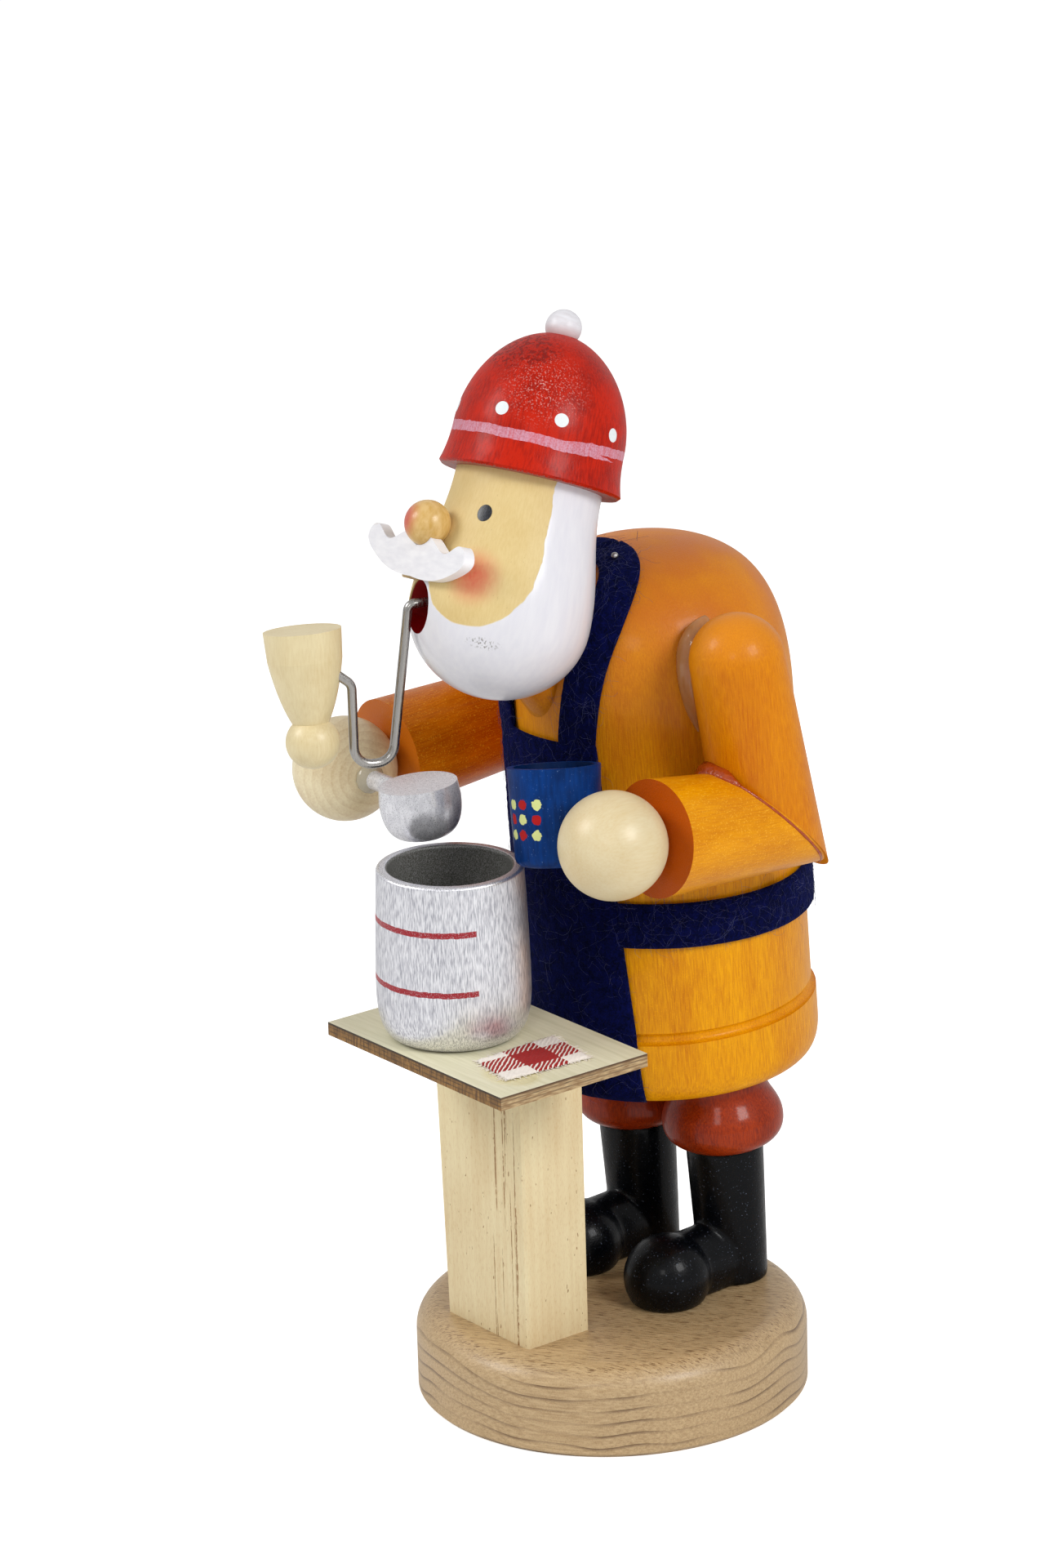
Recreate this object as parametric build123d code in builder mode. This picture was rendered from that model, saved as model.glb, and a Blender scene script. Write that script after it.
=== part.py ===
from build123d import *
import math
import os

# Incense smoker: a stooping turned figure that ladles from a pot on a small table.
# Millimetres. The origin is the centre of the base underside, Z is up, the figure faces -Y
# and its own left side is +X. The figure leans forward, so it has a frame of its own:
# X across, Y to its back, Z up along its axis from the top of the base.

os.makedirs("parts", exist_ok=True)

# Fits
glue_gap = 0.05
slide_gap = 0.08
felt_gap = 0.15
overrun = 2.0
quarter_round_share = 0.5523

# Base disc
base_diameter = 71.2
base_height = 16.5
base_top_round = 5.0
base_foot_chamfer = 0.8

# Table
post_width = 23.5
post_depth = 13.6
post_from_board_x = -9.7
post_from_board_y = 12.4
post_edge_chamfer = 0.4
post_top_flare = 2.1
post_dowel_diameter = 6.0
post_dowel_bite = 7.0
board_width = 50.0
board_depth = 32.0
board_thickness = 2.4
board_x = 8.1
board_ahead_of_torso = 28.9

# Pot
pot_from_board_x = -6.1
pot_from_board_y = -2.1
pot_height = 30.8
pot_rim_diameter = 25.8
pot_belly_diameter = 27.2
pot_foot_diameter = 19.6
pot_belly_height = 9.0
pot_wall = 2.0
pot_floor = 4.0
pot_rim_round = 0.6

# Cloth patch on the board
cloth_from_board_x = 14.0
cloth_from_board_y = -0.8
cloth_front_width = 11.0
cloth_back_width = 13.0
cloth_length = 17.8
cloth_skew = 1.8
cloth_thickness = 0.5

# Figure frame
lean_angle = 3.4
stance_x = -4.3
stance_y = 22.0
stance_turn_angle = 3.5

# Boots
leg_spread = 23.7
boot_top_diameter = 14.2
boot_heel_diameter = 12.6
boot_height = 26.9
toe_diameter = 15.9
toe_centre_height = 4.6
toe_reach = 16.8
toe_turn_angle = 5.0
instep_width = 10.8
instep_height = 11.9
leg_dowel_diameter = 4.0
leg_dowel_bite = 8.0

# Trousers
trouser_diameter = 22.1
trouser_hem_diameter = 14.9
trouser_waist_diameter = 16.6
trouser_widest_height = 4.4
trouser_neck_height = 12.5
trouser_right_drop = 1.4
boot_tenon_diameter = 8.0
boot_tenon_length = 7.0

# Hip plate, the spigot inside the torso
hip_height = 41.5
hip_flange_inset = 1.4
hip_flange_thickness = 3.2
hip_spigot_height = 6.0
hip_spigot_chamfer = 0.8
draught_hole_diameter = 5.0
draught_hole_inset = 4.2
draught_hole_pitch = 6.4
draught_hole_heading_angle = 90.0

# Incense tray
tray_inset = 8.0
tray_metal = 0.5
tray_rim_height = 1.8
nail_diameter = 1.4
nail_head_diameter = 3.2
nail_head_height = 0.6
nail_length = 5.0

# Torso
torso_diameter = 51.4
torso_height = 97.6
torso_hem_step = 0.8
torso_hem_tuck = 3.6
torso_hem_round = 6.0
torso_groove_height = 12.8
torso_groove_width = 2.2
torso_groove_depth = 0.6
dome_height = 29.5
dome_fullness_share = 0.73
torso_wall = 6.7
chamber_roof_depth = 28.8
chamber_roof_height = 10.0

# Head, with the brim centre as its own origin, placed from the neck's seat
head_side = 1.7
head_ahead_of_neck = 1.7
head_above_neck = 37.9
head_lean_angle = 24.4
head_heading_angle = 106.2
head_brow_diameter = 25.8
head_beard_diameter = 31.8
head_widest_depth = 23.5
head_brow_share = 0.4
head_cheek_share = 0.6
head_length = 38.4
head_seat_gap = 0.05
hat_tenon_diameter = 16.0
hat_tenon_height = 8.0

# Hat
hat_brim_diameter = 32.2
hat_side_diameter = 30.2
hat_band_height = 7.5
hat_height = 26.2
hat_brim_round = 0.5
hat_dome_share = 0.53
pompom_diameter = 6.4
pompom_lift = 1.2

# Face
nose_diameter = 8.1
nose_depth = 11.5
nose_reach = 17.7
nose_turn_angle = -8.0
mouth_diameter = 9.2
mouth_depth = 6.0
mouth_level = 25.6
mouth_turn_angle = -15.0
smoke_channel_diameter = 5.0
moustache_thickness = 2.2
moustache_half_width = 14.2
moustache_drop = 5.3
moustache_lobe = 2.0
moustache_level = 15.5
moustache_reach = 16.5
moustache_turn_angle = -11.0
moustache_yaw_angle = 11.3
moustache_pitch_angle = 5.0
moustache_roll_angle = -6.6
peg_diameter = 2.4
peg_level = 20.0
peg_turn_angle = -22.0
peg_bite = 4.0
peg_reach = 2.4

# Neck
neck_angle = 32.7
neck_seat_inset = 3.2
neck_seat_depth = 10.13
neck_dowel_diameter = 8.0
neck_bore_diameter = 5.0
neck_dowel_below = 8.0
neck_dowel_above = 12.0
neck_collar_diameter = 11.0

# Arms, placed from the side of the torso and from the shoulders
shoulder_clear = 7.7
shoulder_forward = 6.2
shoulder_below_top = 13.4
shoulder_diameter = 16.8
elbow_clear = 9.0
elbow_forward = 3.0
left_elbow_drop = 30.0
right_elbow_drop = 25.8
elbow_diameter = 18.2
cuff_diameter = 20.7
hand_diameter = 19.0
hand_seat = 9.2
hand_clear = 10.3
left_hand_ahead = 12.3
left_hand_drop = 24.3
right_hand_ahead = 16.6
right_hand_drop = 26.3
arm_dowel_diameter = 4.0
arm_dowel_bite = 6.0
elbow_dowel_diameter = 3.0
shoulder_dowel_drop = 14.4

# Mug in the left hand, placed from it
mug_inward = 17.0
mug_behind = 1.1
mug_above = 1.0
mug_height = 17.3
mug_rim_diameter = 16.4
mug_foot_diameter = 15.0
mug_foot_round = 2.2
mug_wall = 1.2
mug_floor = 2.4
mug_lean_angle = 13.4
mug_heading_angle = 147.8

# Ladle in the right hand, placed from it, with the pot's rim just below
ladle_inward = 27.9
ladle_ahead = 3.4
ladle_drop = 5.1
ladle_over_pot = 0.42
ladle_height = 9.8
ladle_top_diameter = 14.0
ladle_belly_diameter = 14.6
ladle_belly_height = 7.0
ladle_foot_diameter = 5.0
ladle_lean_angle = 6.0
ladle_heading_angle = 217.6
ladle_rod_diameter = 3.4
ladle_rod_height = 7.0
ladle_rod_bite = 4.0

# Felt
felt_thickness = 1.3
bib_below_top = 29.3
bib_top_width = 26.0
apron_waist_above_belt = 5.1
apron_waist_width = 29.4
apron_hem_height = 1.2
apron_hem_width = 33.0
strap_width = 7.2
strap_foot_out = 9.6
strap_turn_below_top = 12.3
strap_turn_out = 11.5
strap_loop_radius = 11.7
strap_loop_inset = 6.4
belt_below_elbow = 20.5
belt_width = 8.4
belt_tilt_angle = -3.0
pin_head_diameter = 1.3
pin_diameter = 0.7
pin_length = 6.0
pin_out = 5.5
pin_behind_loop_centre = 9.9

# Pipe, in the upright plane through the mouth
wire_diameter = 1.65
wire_inside = 10.0
wire_rise = 0.3
wire_out = 1.0
wire_bottom_out = 4.8
wire_bottom_drop = 27.5
wire_loop_width = 6.9
wire_top_drop = 12.8
wire_tip_out = 16.0
wire_tip_drop = 9.2
wire_mouth_bend = 1.3
wire_loop_bend = 3.3
wire_bowl_bend = 2.2
bowl_out = 18.8
bowl_drop = 27.0
bowl_lean_angle = 8.7
bowl_heading_angle = 166.0
bowl_height = 24.2
bowl_top_diameter = 13.6
bowl_ball_diameter = 9.4
bowl_ball_height = 8.3
bowl_neck_diameter = 6.4
bowl_neck_height = 8.0
bowl_belly_diameter = 10.6
bowl_belly_height = 12.0
bowl_waist_diameter = 13.0
bowl_waist_height = 19.0

# Sizes that follow from others
torso_radius = torso_diameter / 2
torso_hem_diameter = torso_diameter + 2 * torso_hem_step
torso_hem_foot_diameter = torso_hem_diameter - 2 * torso_hem_tuck
chamber_diameter = torso_diameter - 2 * torso_wall
chamber_height = torso_height - chamber_roof_depth
hip_flange_diameter = torso_hem_foot_diameter - 2 * hip_flange_inset
draught_hole_radius = chamber_diameter / 2 - draught_hole_inset
tray_diameter = chamber_diameter - 2 * tray_inset
shoulder_height = torso_height - shoulder_below_top
elbow_heights = {"left": shoulder_height - left_elbow_drop, "right": shoulder_height - right_elbow_drop}
strap_turn_height = torso_height - strap_turn_below_top
strap_loop_forward = torso_radius - strap_loop_inset
bib_top_height = torso_height - bib_below_top
belt_height = elbow_heights["left"] - belt_below_elbow
apron_waist_height = belt_height + apron_waist_above_belt
board_y = stance_y - torso_radius - board_ahead_of_torso
post_x = board_x + post_from_board_x
post_y = board_y + post_from_board_y
pot_x = board_x + pot_from_board_x
pot_y = board_y + pot_from_board_y
cloth_x = board_x + cloth_from_board_x
cloth_y = board_y + cloth_from_board_y


def spot(frame, x, y, z):
    """The frame moved to a point that is given in the frame itself."""
    return Plane(frame.from_local_coords((x, y, z)), x_dir=frame.x_dir, z_dir=frame.z_dir)


def upright(frame):
    """The frame's own XZ plane, for the outlines of turned pieces."""
    return Plane(frame.origin, x_dir=frame.x_dir, z_dir=-frame.y_dir)


def spindle(frame):
    """The axis that a piece in this frame is turned about."""
    return Axis(frame.origin, frame.z_dir)


def leaning(origin, lean, heading):
    """A frame whose Z leans by an angle towards a compass heading, +X being zero."""
    tip = math.sin(math.radians(lean))
    way = math.radians(heading)
    up = Vector(tip * math.cos(way), tip * math.sin(way), math.cos(math.radians(lean)))
    return Plane(origin, x_dir=Vector(0, 1, 0).cross(up), z_dir=up)


def facing(turn):
    """Level direction that looks forward and is turned to the figure's left by an angle."""
    return Vector(math.sin(math.radians(turn)), -math.cos(math.radians(turn)), 0)


# Frames of the figure, its hips and its legs
base_top = Plane.XY.offset(base_height)
lean = math.radians(lean_angle)
figure = Plane((stance_x, stance_y, base_height), x_dir=(1, 0, 0), z_dir=(0, -math.sin(lean), math.cos(lean)))
hips = spot(figure, 0, 0, hip_height)
sides = {"left": 1, "right": -1}
turn_in = math.radians(stance_turn_angle)
legs = {}
for name, side in sides.items():
    apart = side * leg_spread / 2
    legs[name] = spot(figure, apart * math.cos(turn_in), apart * math.sin(turn_in), 0)


def around_head(turn, level, reach):
    """Frame on the head: Z points out of the face at a turn, a level below the brim and a reach."""
    angle = math.radians(turn)
    out = head_frame.x_dir * math.sin(angle) - head_frame.y_dir * math.cos(angle)
    origin = head_frame.from_local_coords((math.sin(angle) * reach, -math.cos(angle) * reach, -level))
    return Plane(origin, x_dir=out.cross(-head_frame.z_dir), z_dir=out)


def torso_blank(grow):
    """The turned outside of the torso without its groove, grown by a skin."""
    wall = torso_radius + grow
    hem = torso_hem_diameter / 2 + grow
    foot = torso_hem_foot_diameter / 2 + grow
    shoulder = torso_height - dome_height
    top = torso_height + grow
    groove_low = torso_groove_height - torso_groove_width / 2
    groove_high = torso_groove_height + torso_groove_width / 2
    with BuildPart() as blank:
        with BuildSketch(upright(hips)):
            with BuildLine():
                Line((0, 0), (foot, 0))
                Bezier((foot, 0), (hem, 0), (hem, torso_hem_round))
                Line((hem, torso_hem_round), (hem, groove_low))
                Line((hem, groove_low), (wall, groove_high))
                Line((wall, groove_high), (wall, shoulder))
                Bezier(
                    (wall, shoulder),
                    (wall, shoulder + (top - shoulder) * dome_fullness_share),
                    (wall * dome_fullness_share, top),
                    (0, top),
                )
                Line((0, top), (0, 0))
            make_face()
        revolve(axis=spindle(hips))
    return blank.part


def head_blank(grow):
    """The turned egg of the head below the brim, grown by a gap."""
    brow = head_brow_diameter / 2 + grow
    beard = head_beard_diameter / 2 + grow
    chin = head_length + grow
    with BuildPart() as blank:
        with BuildSketch(upright(head_frame)):
            with BuildLine():
                Line((0, 0), (brow, 0))
                Bezier(
                    (brow, 0),
                    (brow, -head_widest_depth * head_brow_share),
                    (beard, -head_widest_depth * head_cheek_share),
                    (beard, -head_widest_depth),
                )
                Bezier(
                    (beard, -head_widest_depth),
                    (beard, -head_widest_depth - (chin - head_widest_depth) * quarter_round_share),
                    (beard * quarter_round_share, -chin),
                    (0, -chin),
                )
                Line((0, -chin), (0, 0))
            make_face()
        revolve(axis=spindle(head_frame))
    return blank.part


def mug_blank(grow):
    """The turned outside of the mug, grown by a gap."""
    mug_rim = mug_rim_diameter / 2 + grow
    mug_foot = mug_foot_diameter / 2 + grow
    with BuildPart() as blank:
        with BuildSketch(upright(mug_frame)):
            with BuildLine():
                Line((0, 0), (mug_foot - mug_foot_round, 0))
                Bezier((mug_foot - mug_foot_round, 0), (mug_foot, 0), (mug_foot, mug_foot_round))
                Line((mug_foot, mug_foot_round), (mug_rim, mug_height))
                Line((mug_rim, mug_height), (0, mug_height))
                Line((0, mug_height), (0, 0))
            make_face()
        revolve(axis=spindle(mug_frame))
    return blank.part


def on_dome(x, y):
    """Where the dome lies over a point of the hips' frame, and the way that is square to it there."""
    above = hips.from_local_coords((x, y, 2 * torso_height))
    return torso_outside.find_intersection_points(Axis(above, -hips.z_dir))[0]


# The neck sits on the dome, and the head on the neck
torso_outside = torso_blank(0)
neck_spot = on_dome(0, neck_seat_inset - torso_radius)[0] - hips.z_dir * neck_seat_depth
neck_frame = Plane(
    neck_spot,
    x_dir=(1, 0, 0),
    z_dir=hips.z_dir * math.cos(math.radians(neck_angle)) - hips.y_dir * math.sin(math.radians(neck_angle)),
)
head_place = spot(hips, *hips.to_local_coords(neck_spot)).from_local_coords(
    (head_side, -head_ahead_of_neck, head_above_neck)
)
head_frame = leaning(head_place, head_lean_angle, head_heading_angle)

# Joints of the arms in the hips' frame, then the mug and the ladle by their hands, and the board under the ladle
hand_out = torso_radius + hand_clear
elbow_out = torso_radius + elbow_clear
shoulder_out = torso_radius + shoulder_clear
hands = {
    "left": (hand_out, -torso_radius - left_hand_ahead, shoulder_height - left_hand_drop),
    "right": (-hand_out, -torso_radius - right_hand_ahead, shoulder_height - right_hand_drop),
}
elbows = {
    "left": (elbow_out, -elbow_forward, elbow_heights["left"]),
    "right": (-elbow_out, -elbow_forward, elbow_heights["right"]),
}
shoulders = {
    "left": (shoulder_out, -shoulder_forward, shoulder_height),
    "right": (-shoulder_out, -shoulder_forward, shoulder_height),
}
left_hand = spot(hips, *hands["left"])
right_hand = spot(hips, *hands["right"])
mug_place = left_hand.from_local_coords((-mug_inward, mug_behind, mug_above))
mug_frame = spot(leaning(mug_place, mug_lean_angle, mug_heading_angle), 0, 0, -mug_height / 2)
ladle_place = right_hand.from_local_coords((ladle_inward, -ladle_ahead, -ladle_drop))
ladle_frame = leaning(ladle_place, ladle_lean_angle, ladle_heading_angle)
board_top = ladle_place.Z - ladle_over_pot - pot_height

# Base disc with sockets for the legs and the post
with BuildPart() as base_disc:
    with BuildSketch():
        Circle(base_diameter / 2)
    extrude(amount=base_height)
    fillet(base_disc.edges().group_by(Axis.Z)[-1], base_top_round)
    chamfer(base_disc.edges().group_by(Axis.Z)[0], base_foot_chamfer)
    for leg in legs.values():
        with BuildSketch(spot(leg, 0, 0, -leg_dowel_bite - glue_gap)):
            Circle(leg_dowel_diameter / 2 + glue_gap)
        extrude(amount=leg_dowel_bite + overrun, mode=Mode.SUBTRACT)
    with BuildSketch(Plane((post_x, post_y, base_height))):
        Circle(post_dowel_diameter / 2 + glue_gap)
    extrude(amount=-post_dowel_bite - glue_gap, mode=Mode.SUBTRACT)
base_disc.part.label = "base_disc"
export_step(base_disc.part, "parts/base_disc.step")

# Table post, sawn a little wider at the top of its right side, its dowel and the board
post_height = board_top - board_thickness - base_height
with BuildPart() as table_post:
    with BuildSketch(upright(Plane((post_x, post_y, base_height)))):
        Polygon(
            (-post_width / 2, 0),
            (post_width / 2, 0),
            (post_width / 2, post_height),
            (-post_width / 2 - post_top_flare, post_height),
            align=None,
        )
    extrude(amount=post_depth / 2, both=True)
    chamfer(table_post.faces().sort_by(Axis.Y)[0].edges().sort_by(Axis.X)[0], post_edge_chamfer)
    chamfer(table_post.faces().sort_by(Axis.Y)[0].edges().sort_by(Axis.X)[-1], post_edge_chamfer)
    with BuildSketch(Plane((post_x, post_y, base_height))):
        Circle(post_dowel_diameter / 2 + glue_gap)
    extrude(amount=post_dowel_bite + glue_gap, mode=Mode.SUBTRACT)
table_post.part.label = "table_post"
export_step(table_post.part, "parts/table_post.step")

with BuildPart() as post_dowel:
    with BuildSketch(Plane((post_x, post_y, base_height - post_dowel_bite))):
        Circle(post_dowel_diameter / 2)
    extrude(amount=2 * post_dowel_bite)
post_dowel.part.label = "post_dowel"
export_step(post_dowel.part, "parts/post_dowel.step")

with BuildPart() as table_board:
    with BuildSketch(Plane((board_x, board_y, board_top - board_thickness))):
        Rectangle(board_width, board_depth)
    extrude(amount=board_thickness)
table_board.part.label = "table_board"
export_step(table_board.part, "parts/table_board.step")

# Pot: bellied outside, straight bore
pot_frame = Plane((pot_x, pot_y, board_top))
pot_rim = pot_rim_diameter / 2
pot_belly = pot_belly_diameter / 2
with BuildPart() as pot:
    with BuildSketch(upright(pot_frame)):
        with BuildLine():
            Line((0, 0), (pot_foot_diameter / 2, 0))
            Bezier((pot_foot_diameter / 2, 0), (pot_belly, 0), (pot_belly, pot_belly_height))
            Bezier((pot_belly, pot_belly_height), (pot_belly, pot_height / 2), (pot_rim, pot_height))
            Line((pot_rim, pot_height), (pot_rim - pot_wall, pot_height))
            Line((pot_rim - pot_wall, pot_height), (pot_rim - pot_wall, pot_floor))
            Line((pot_rim - pot_wall, pot_floor), (0, pot_floor))
            Line((0, pot_floor), (0, 0))
        make_face()
    revolve(axis=spindle(pot_frame))
    fillet(pot.edges().group_by(Axis.Z)[-1], pot_rim_round)
pot.part.label = "pot"
export_step(pot.part, "parts/pot.step")

# Gingham patch, cut a little skew
with BuildPart() as table_cloth:
    with BuildSketch(Plane((cloth_x, cloth_y, board_top))):
        Polygon(
            (-cloth_front_width / 2, -cloth_length / 2 + cloth_skew / 2),
            (cloth_front_width / 2, -cloth_length / 2 - cloth_skew / 2),
            (cloth_back_width / 2, cloth_length / 2 - cloth_skew / 2),
            (-cloth_back_width / 2, cloth_length / 2 + cloth_skew / 2),
            align=None,
        )
    extrude(amount=cloth_thickness)
table_cloth.part.label = "table_cloth"
export_step(table_cloth.part, "parts/table_cloth.step")

# Legs: dowel, boot shaft, toe cap and trouser leg, the right trouser seated lower
trouser_drops = {"left": 0, "right": trouser_right_drop}
for name, leg in legs.items():
    trouser_hem = boot_height - trouser_drops[name]
    heel = boot_heel_diameter / 2
    shaft_top = boot_top_diameter / 2

    with BuildPart() as leg_dowel:
        with BuildSketch(spot(leg, 0, 0, -leg_dowel_bite)):
            Circle(leg_dowel_diameter / 2)
        extrude(amount=2 * leg_dowel_bite)
    leg_dowel.part.label = f"leg_dowel_{name}"
    export_step(leg_dowel.part, f"parts/leg_dowel_{name}.step")

    with BuildPart() as boot_shaft:
        with BuildSketch(upright(leg)):
            with BuildLine():
                Polyline(
                    (0, -overrun),
                    (heel, -overrun),
                    (heel, 0),
                    (shaft_top, trouser_hem),
                    (boot_tenon_diameter / 2, trouser_hem),
                    (boot_tenon_diameter / 2, trouser_hem + boot_tenon_length),
                    (0, trouser_hem + boot_tenon_length),
                    close=True,
                )
            make_face()
        revolve(axis=spindle(leg))
        split(bisect_by=base_top, keep=Keep.TOP)
        with BuildSketch(spot(leg, 0, 0, -overrun)):
            Circle(leg_dowel_diameter / 2 + glue_gap)
        extrude(amount=overrun + leg_dowel_bite + glue_gap, mode=Mode.SUBTRACT)
    boot_shaft.part.label = f"boot_shaft_{name}"
    export_step(boot_shaft.part, f"parts/boot_shaft_{name}.step")

    toe_way = facing(toe_turn_angle)
    toe_place = leg.origin + toe_way * toe_reach + Vector(0, 0, toe_centre_height)
    toe_frame = Plane(toe_place, x_dir=toe_way.cross(Vector(0, 0, 1)), z_dir=-toe_way)
    with BuildPart() as boot_toe:
        with Locations(toe_frame):
            Sphere(toe_diameter / 2)
        with BuildSketch(toe_frame):
            Ellipse(instep_width / 2, instep_height - toe_centre_height)
        extrude(amount=toe_reach)
        split(bisect_by=base_top, keep=Keep.TOP)
        with BuildSketch(upright(leg)):
            with BuildLine():
                Polyline(
                    (0, -overrun),
                    (heel + glue_gap, -overrun),
                    (heel + glue_gap, 0),
                    (shaft_top + glue_gap, trouser_hem),
                    (0, trouser_hem),
                    close=True,
                )
            make_face()
        revolve(axis=spindle(leg), mode=Mode.SUBTRACT)
    boot_toe.part.label = f"boot_toe_{name}"
    export_step(boot_toe.part, f"parts/boot_toe_{name}.step")

    cuff = trouser_hem_diameter / 2
    bulge = trouser_diameter / 2
    waist = trouser_waist_diameter / 2
    flare = trouser_neck_height - trouser_widest_height
    leg_top = hip_height - trouser_hem
    hem_frame = spot(leg, 0, 0, trouser_hem)
    with BuildPart() as trouser:
        with BuildSketch(upright(hem_frame)):
            with BuildLine():
                Line((0, 0), (cuff, 0))
                Bezier((cuff, 0), (bulge, trouser_widest_height / 4), (bulge, trouser_widest_height))
                Bezier(
                    (bulge, trouser_widest_height),
                    (bulge, trouser_widest_height + 0.45 * flare),
                    (waist, trouser_widest_height + 0.6 * flare),
                    (waist, trouser_neck_height),
                )
                Line((waist, trouser_neck_height), (waist, leg_top))
                Line((waist, leg_top), (0, leg_top))
                Line((0, leg_top), (0, 0))
            make_face()
        revolve(axis=spindle(hem_frame))
        with BuildSketch(hem_frame):
            Circle(boot_tenon_diameter / 2 + glue_gap)
        extrude(amount=boot_tenon_length + glue_gap, mode=Mode.SUBTRACT)
    trouser.part.label = f"trouser_{name}"
    export_step(trouser.part, f"parts/trouser_{name}.step")

# Hip plate: flange under the torso, spigot in its bore, draught holes front and back
spigot_top = hip_flange_thickness + hip_spigot_height
hole_step = math.degrees(2 * math.asin(draught_hole_pitch / 2 / draught_hole_radius))
with BuildPart() as hip_plate:
    with BuildSketch(hips):
        Circle(hip_flange_diameter / 2)
    extrude(amount=hip_flange_thickness)
    with BuildSketch(spot(hips, 0, 0, hip_flange_thickness)):
        Circle(chamber_diameter / 2 - slide_gap)
    extrude(amount=hip_spigot_height)
    chamfer(hip_plate.edges().group_by(Axis(hips.origin, hips.z_dir))[-1], hip_spigot_chamfer)
    with BuildSketch(hips):
        for middle in (draught_hole_heading_angle, -draught_hole_heading_angle):
            for turn in (middle - hole_step, middle, middle + hole_step):
                with PolarLocations(draught_hole_radius, 1, start_angle=turn):
                    Circle(draught_hole_diameter / 2)
    extrude(amount=spigot_top + overrun, mode=Mode.SUBTRACT)
    with BuildSketch(spot(hips, 0, 0, spigot_top)):
        Circle(nail_diameter / 2 + glue_gap)
    extrude(amount=-nail_length - glue_gap, mode=Mode.SUBTRACT)
hip_plate.part.label = "hip_plate"
export_step(hip_plate.part, "parts/hip_plate.step")

# Tin tray for the cone, and the nail that holds it
tray_frame = spot(hips, 0, 0, spigot_top)
with BuildPart() as incense_tray:
    with BuildSketch(tray_frame):
        Circle(tray_diameter / 2)
    extrude(amount=tray_rim_height)
    with BuildSketch(spot(tray_frame, 0, 0, tray_metal)):
        Circle(tray_diameter / 2 - tray_metal)
    extrude(amount=tray_rim_height, mode=Mode.SUBTRACT)
    with BuildSketch(tray_frame):
        Circle(nail_diameter / 2 + glue_gap)
    extrude(amount=tray_rim_height, mode=Mode.SUBTRACT)
incense_tray.part.label = "incense_tray"
export_step(incense_tray.part, "parts/incense_tray.step")

with BuildPart() as tray_nail:
    with BuildSketch(spot(tray_frame, 0, 0, tray_metal)):
        Circle(nail_head_diameter / 2)
    extrude(amount=nail_head_height)
    with BuildSketch(spot(tray_frame, 0, 0, -nail_length)):
        Circle(nail_diameter / 2)
    extrude(amount=nail_length + tray_metal)
tray_nail.part.label = "tray_nail"
export_step(tray_nail.part, "parts/tray_nail.step")

# Pins of the neck strap stand square on the dome
pin_frames = []
for side in sides.values():
    pin_foot, pin_up = on_dome(side * pin_out, pin_behind_loop_centre - strap_loop_forward)
    pin_frames.append(Plane(pin_foot, z_dir=pin_up))

# Shoulder dowels run level from the middle of each upper arm into the torso
arm_out = (shoulder_out + elbow_out) / 2
arm_dowel_reach = arm_out - torso_radius + arm_dowel_bite
arm_dowel_frames = {}
for name, side in sides.items():
    dowel_place = (side * arm_out, -elbow_forward, shoulder_height - shoulder_dowel_drop)
    arm_dowel_frames[name] = Plane(hips.from_local_coords(dowel_place), z_dir=-side * hips.x_dir)

# Torso: hollow smoke chamber, seats for the hip plate, the head, the neck, the arms and the pins
chamber = chamber_diameter / 2
groove = torso_groove_width / 2
head_seat = head_blank(head_seat_gap)
with BuildPart() as torso:
    add(torso_outside)
    with BuildSketch(upright(hips)):
        with Locations((torso_radius + groove - torso_groove_depth, torso_groove_height)):
            Circle(groove)
    revolve(axis=spindle(hips), mode=Mode.SUBTRACT)
    with BuildSketch(upright(hips)):
        with BuildLine():
            Polyline(
                (0, -overrun),
                (hip_flange_diameter / 2 + slide_gap, -overrun),
                (hip_flange_diameter / 2 + slide_gap, hip_flange_thickness),
                (chamber, hip_flange_thickness),
                (chamber, chamber_height),
                (0, chamber_height + chamber_roof_height),
                close=True,
            )
        make_face()
    revolve(axis=spindle(hips), mode=Mode.SUBTRACT)
    add(head_seat, mode=Mode.SUBTRACT)
    with BuildSketch(spot(neck_frame, 0, 0, -neck_dowel_below - neck_dowel_diameter / 2)):
        Circle(neck_dowel_diameter / 2 + glue_gap)
    extrude(amount=neck_dowel_below + neck_dowel_above + neck_dowel_diameter, mode=Mode.SUBTRACT)
    for frame in arm_dowel_frames.values():
        with BuildSketch(frame):
            Circle(arm_dowel_diameter / 2 + glue_gap)
        extrude(amount=arm_dowel_reach + glue_gap, mode=Mode.SUBTRACT)
    for frame in pin_frames:
        with BuildSketch(spot(frame, 0, 0, -pin_length)):
            Circle(pin_diameter / 2 + glue_gap)
        extrude(amount=pin_length + overrun, mode=Mode.SUBTRACT)
torso.part.label = "torso"
export_step(torso.part, "parts/torso.step")

# Neck: hollow dowel from the chamber into the head, and the collar round it
with BuildPart() as neck_dowel:
    with BuildSketch(spot(neck_frame, 0, 0, -neck_dowel_below)):
        Circle(neck_dowel_diameter / 2)
        Circle(neck_bore_diameter / 2, mode=Mode.SUBTRACT)
    extrude(amount=neck_dowel_below + neck_dowel_above)
neck_dowel.part.label = "neck_dowel"
export_step(neck_dowel.part, "parts/neck_dowel.step")

with BuildPart() as neck_collar:
    with BuildSketch(spot(neck_frame, 0, 0, -neck_dowel_below)):
        Circle(neck_collar_diameter / 2)
        Circle(neck_dowel_diameter / 2 + glue_gap, mode=Mode.SUBTRACT)
    extrude(amount=neck_dowel_below + neck_dowel_above)
    add(torso_outside, mode=Mode.SUBTRACT)
    add(head_seat, mode=Mode.SUBTRACT)
neck_collar.part.label = "neck_collar"
export_step(neck_collar.part, "parts/neck_collar.step")

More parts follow.
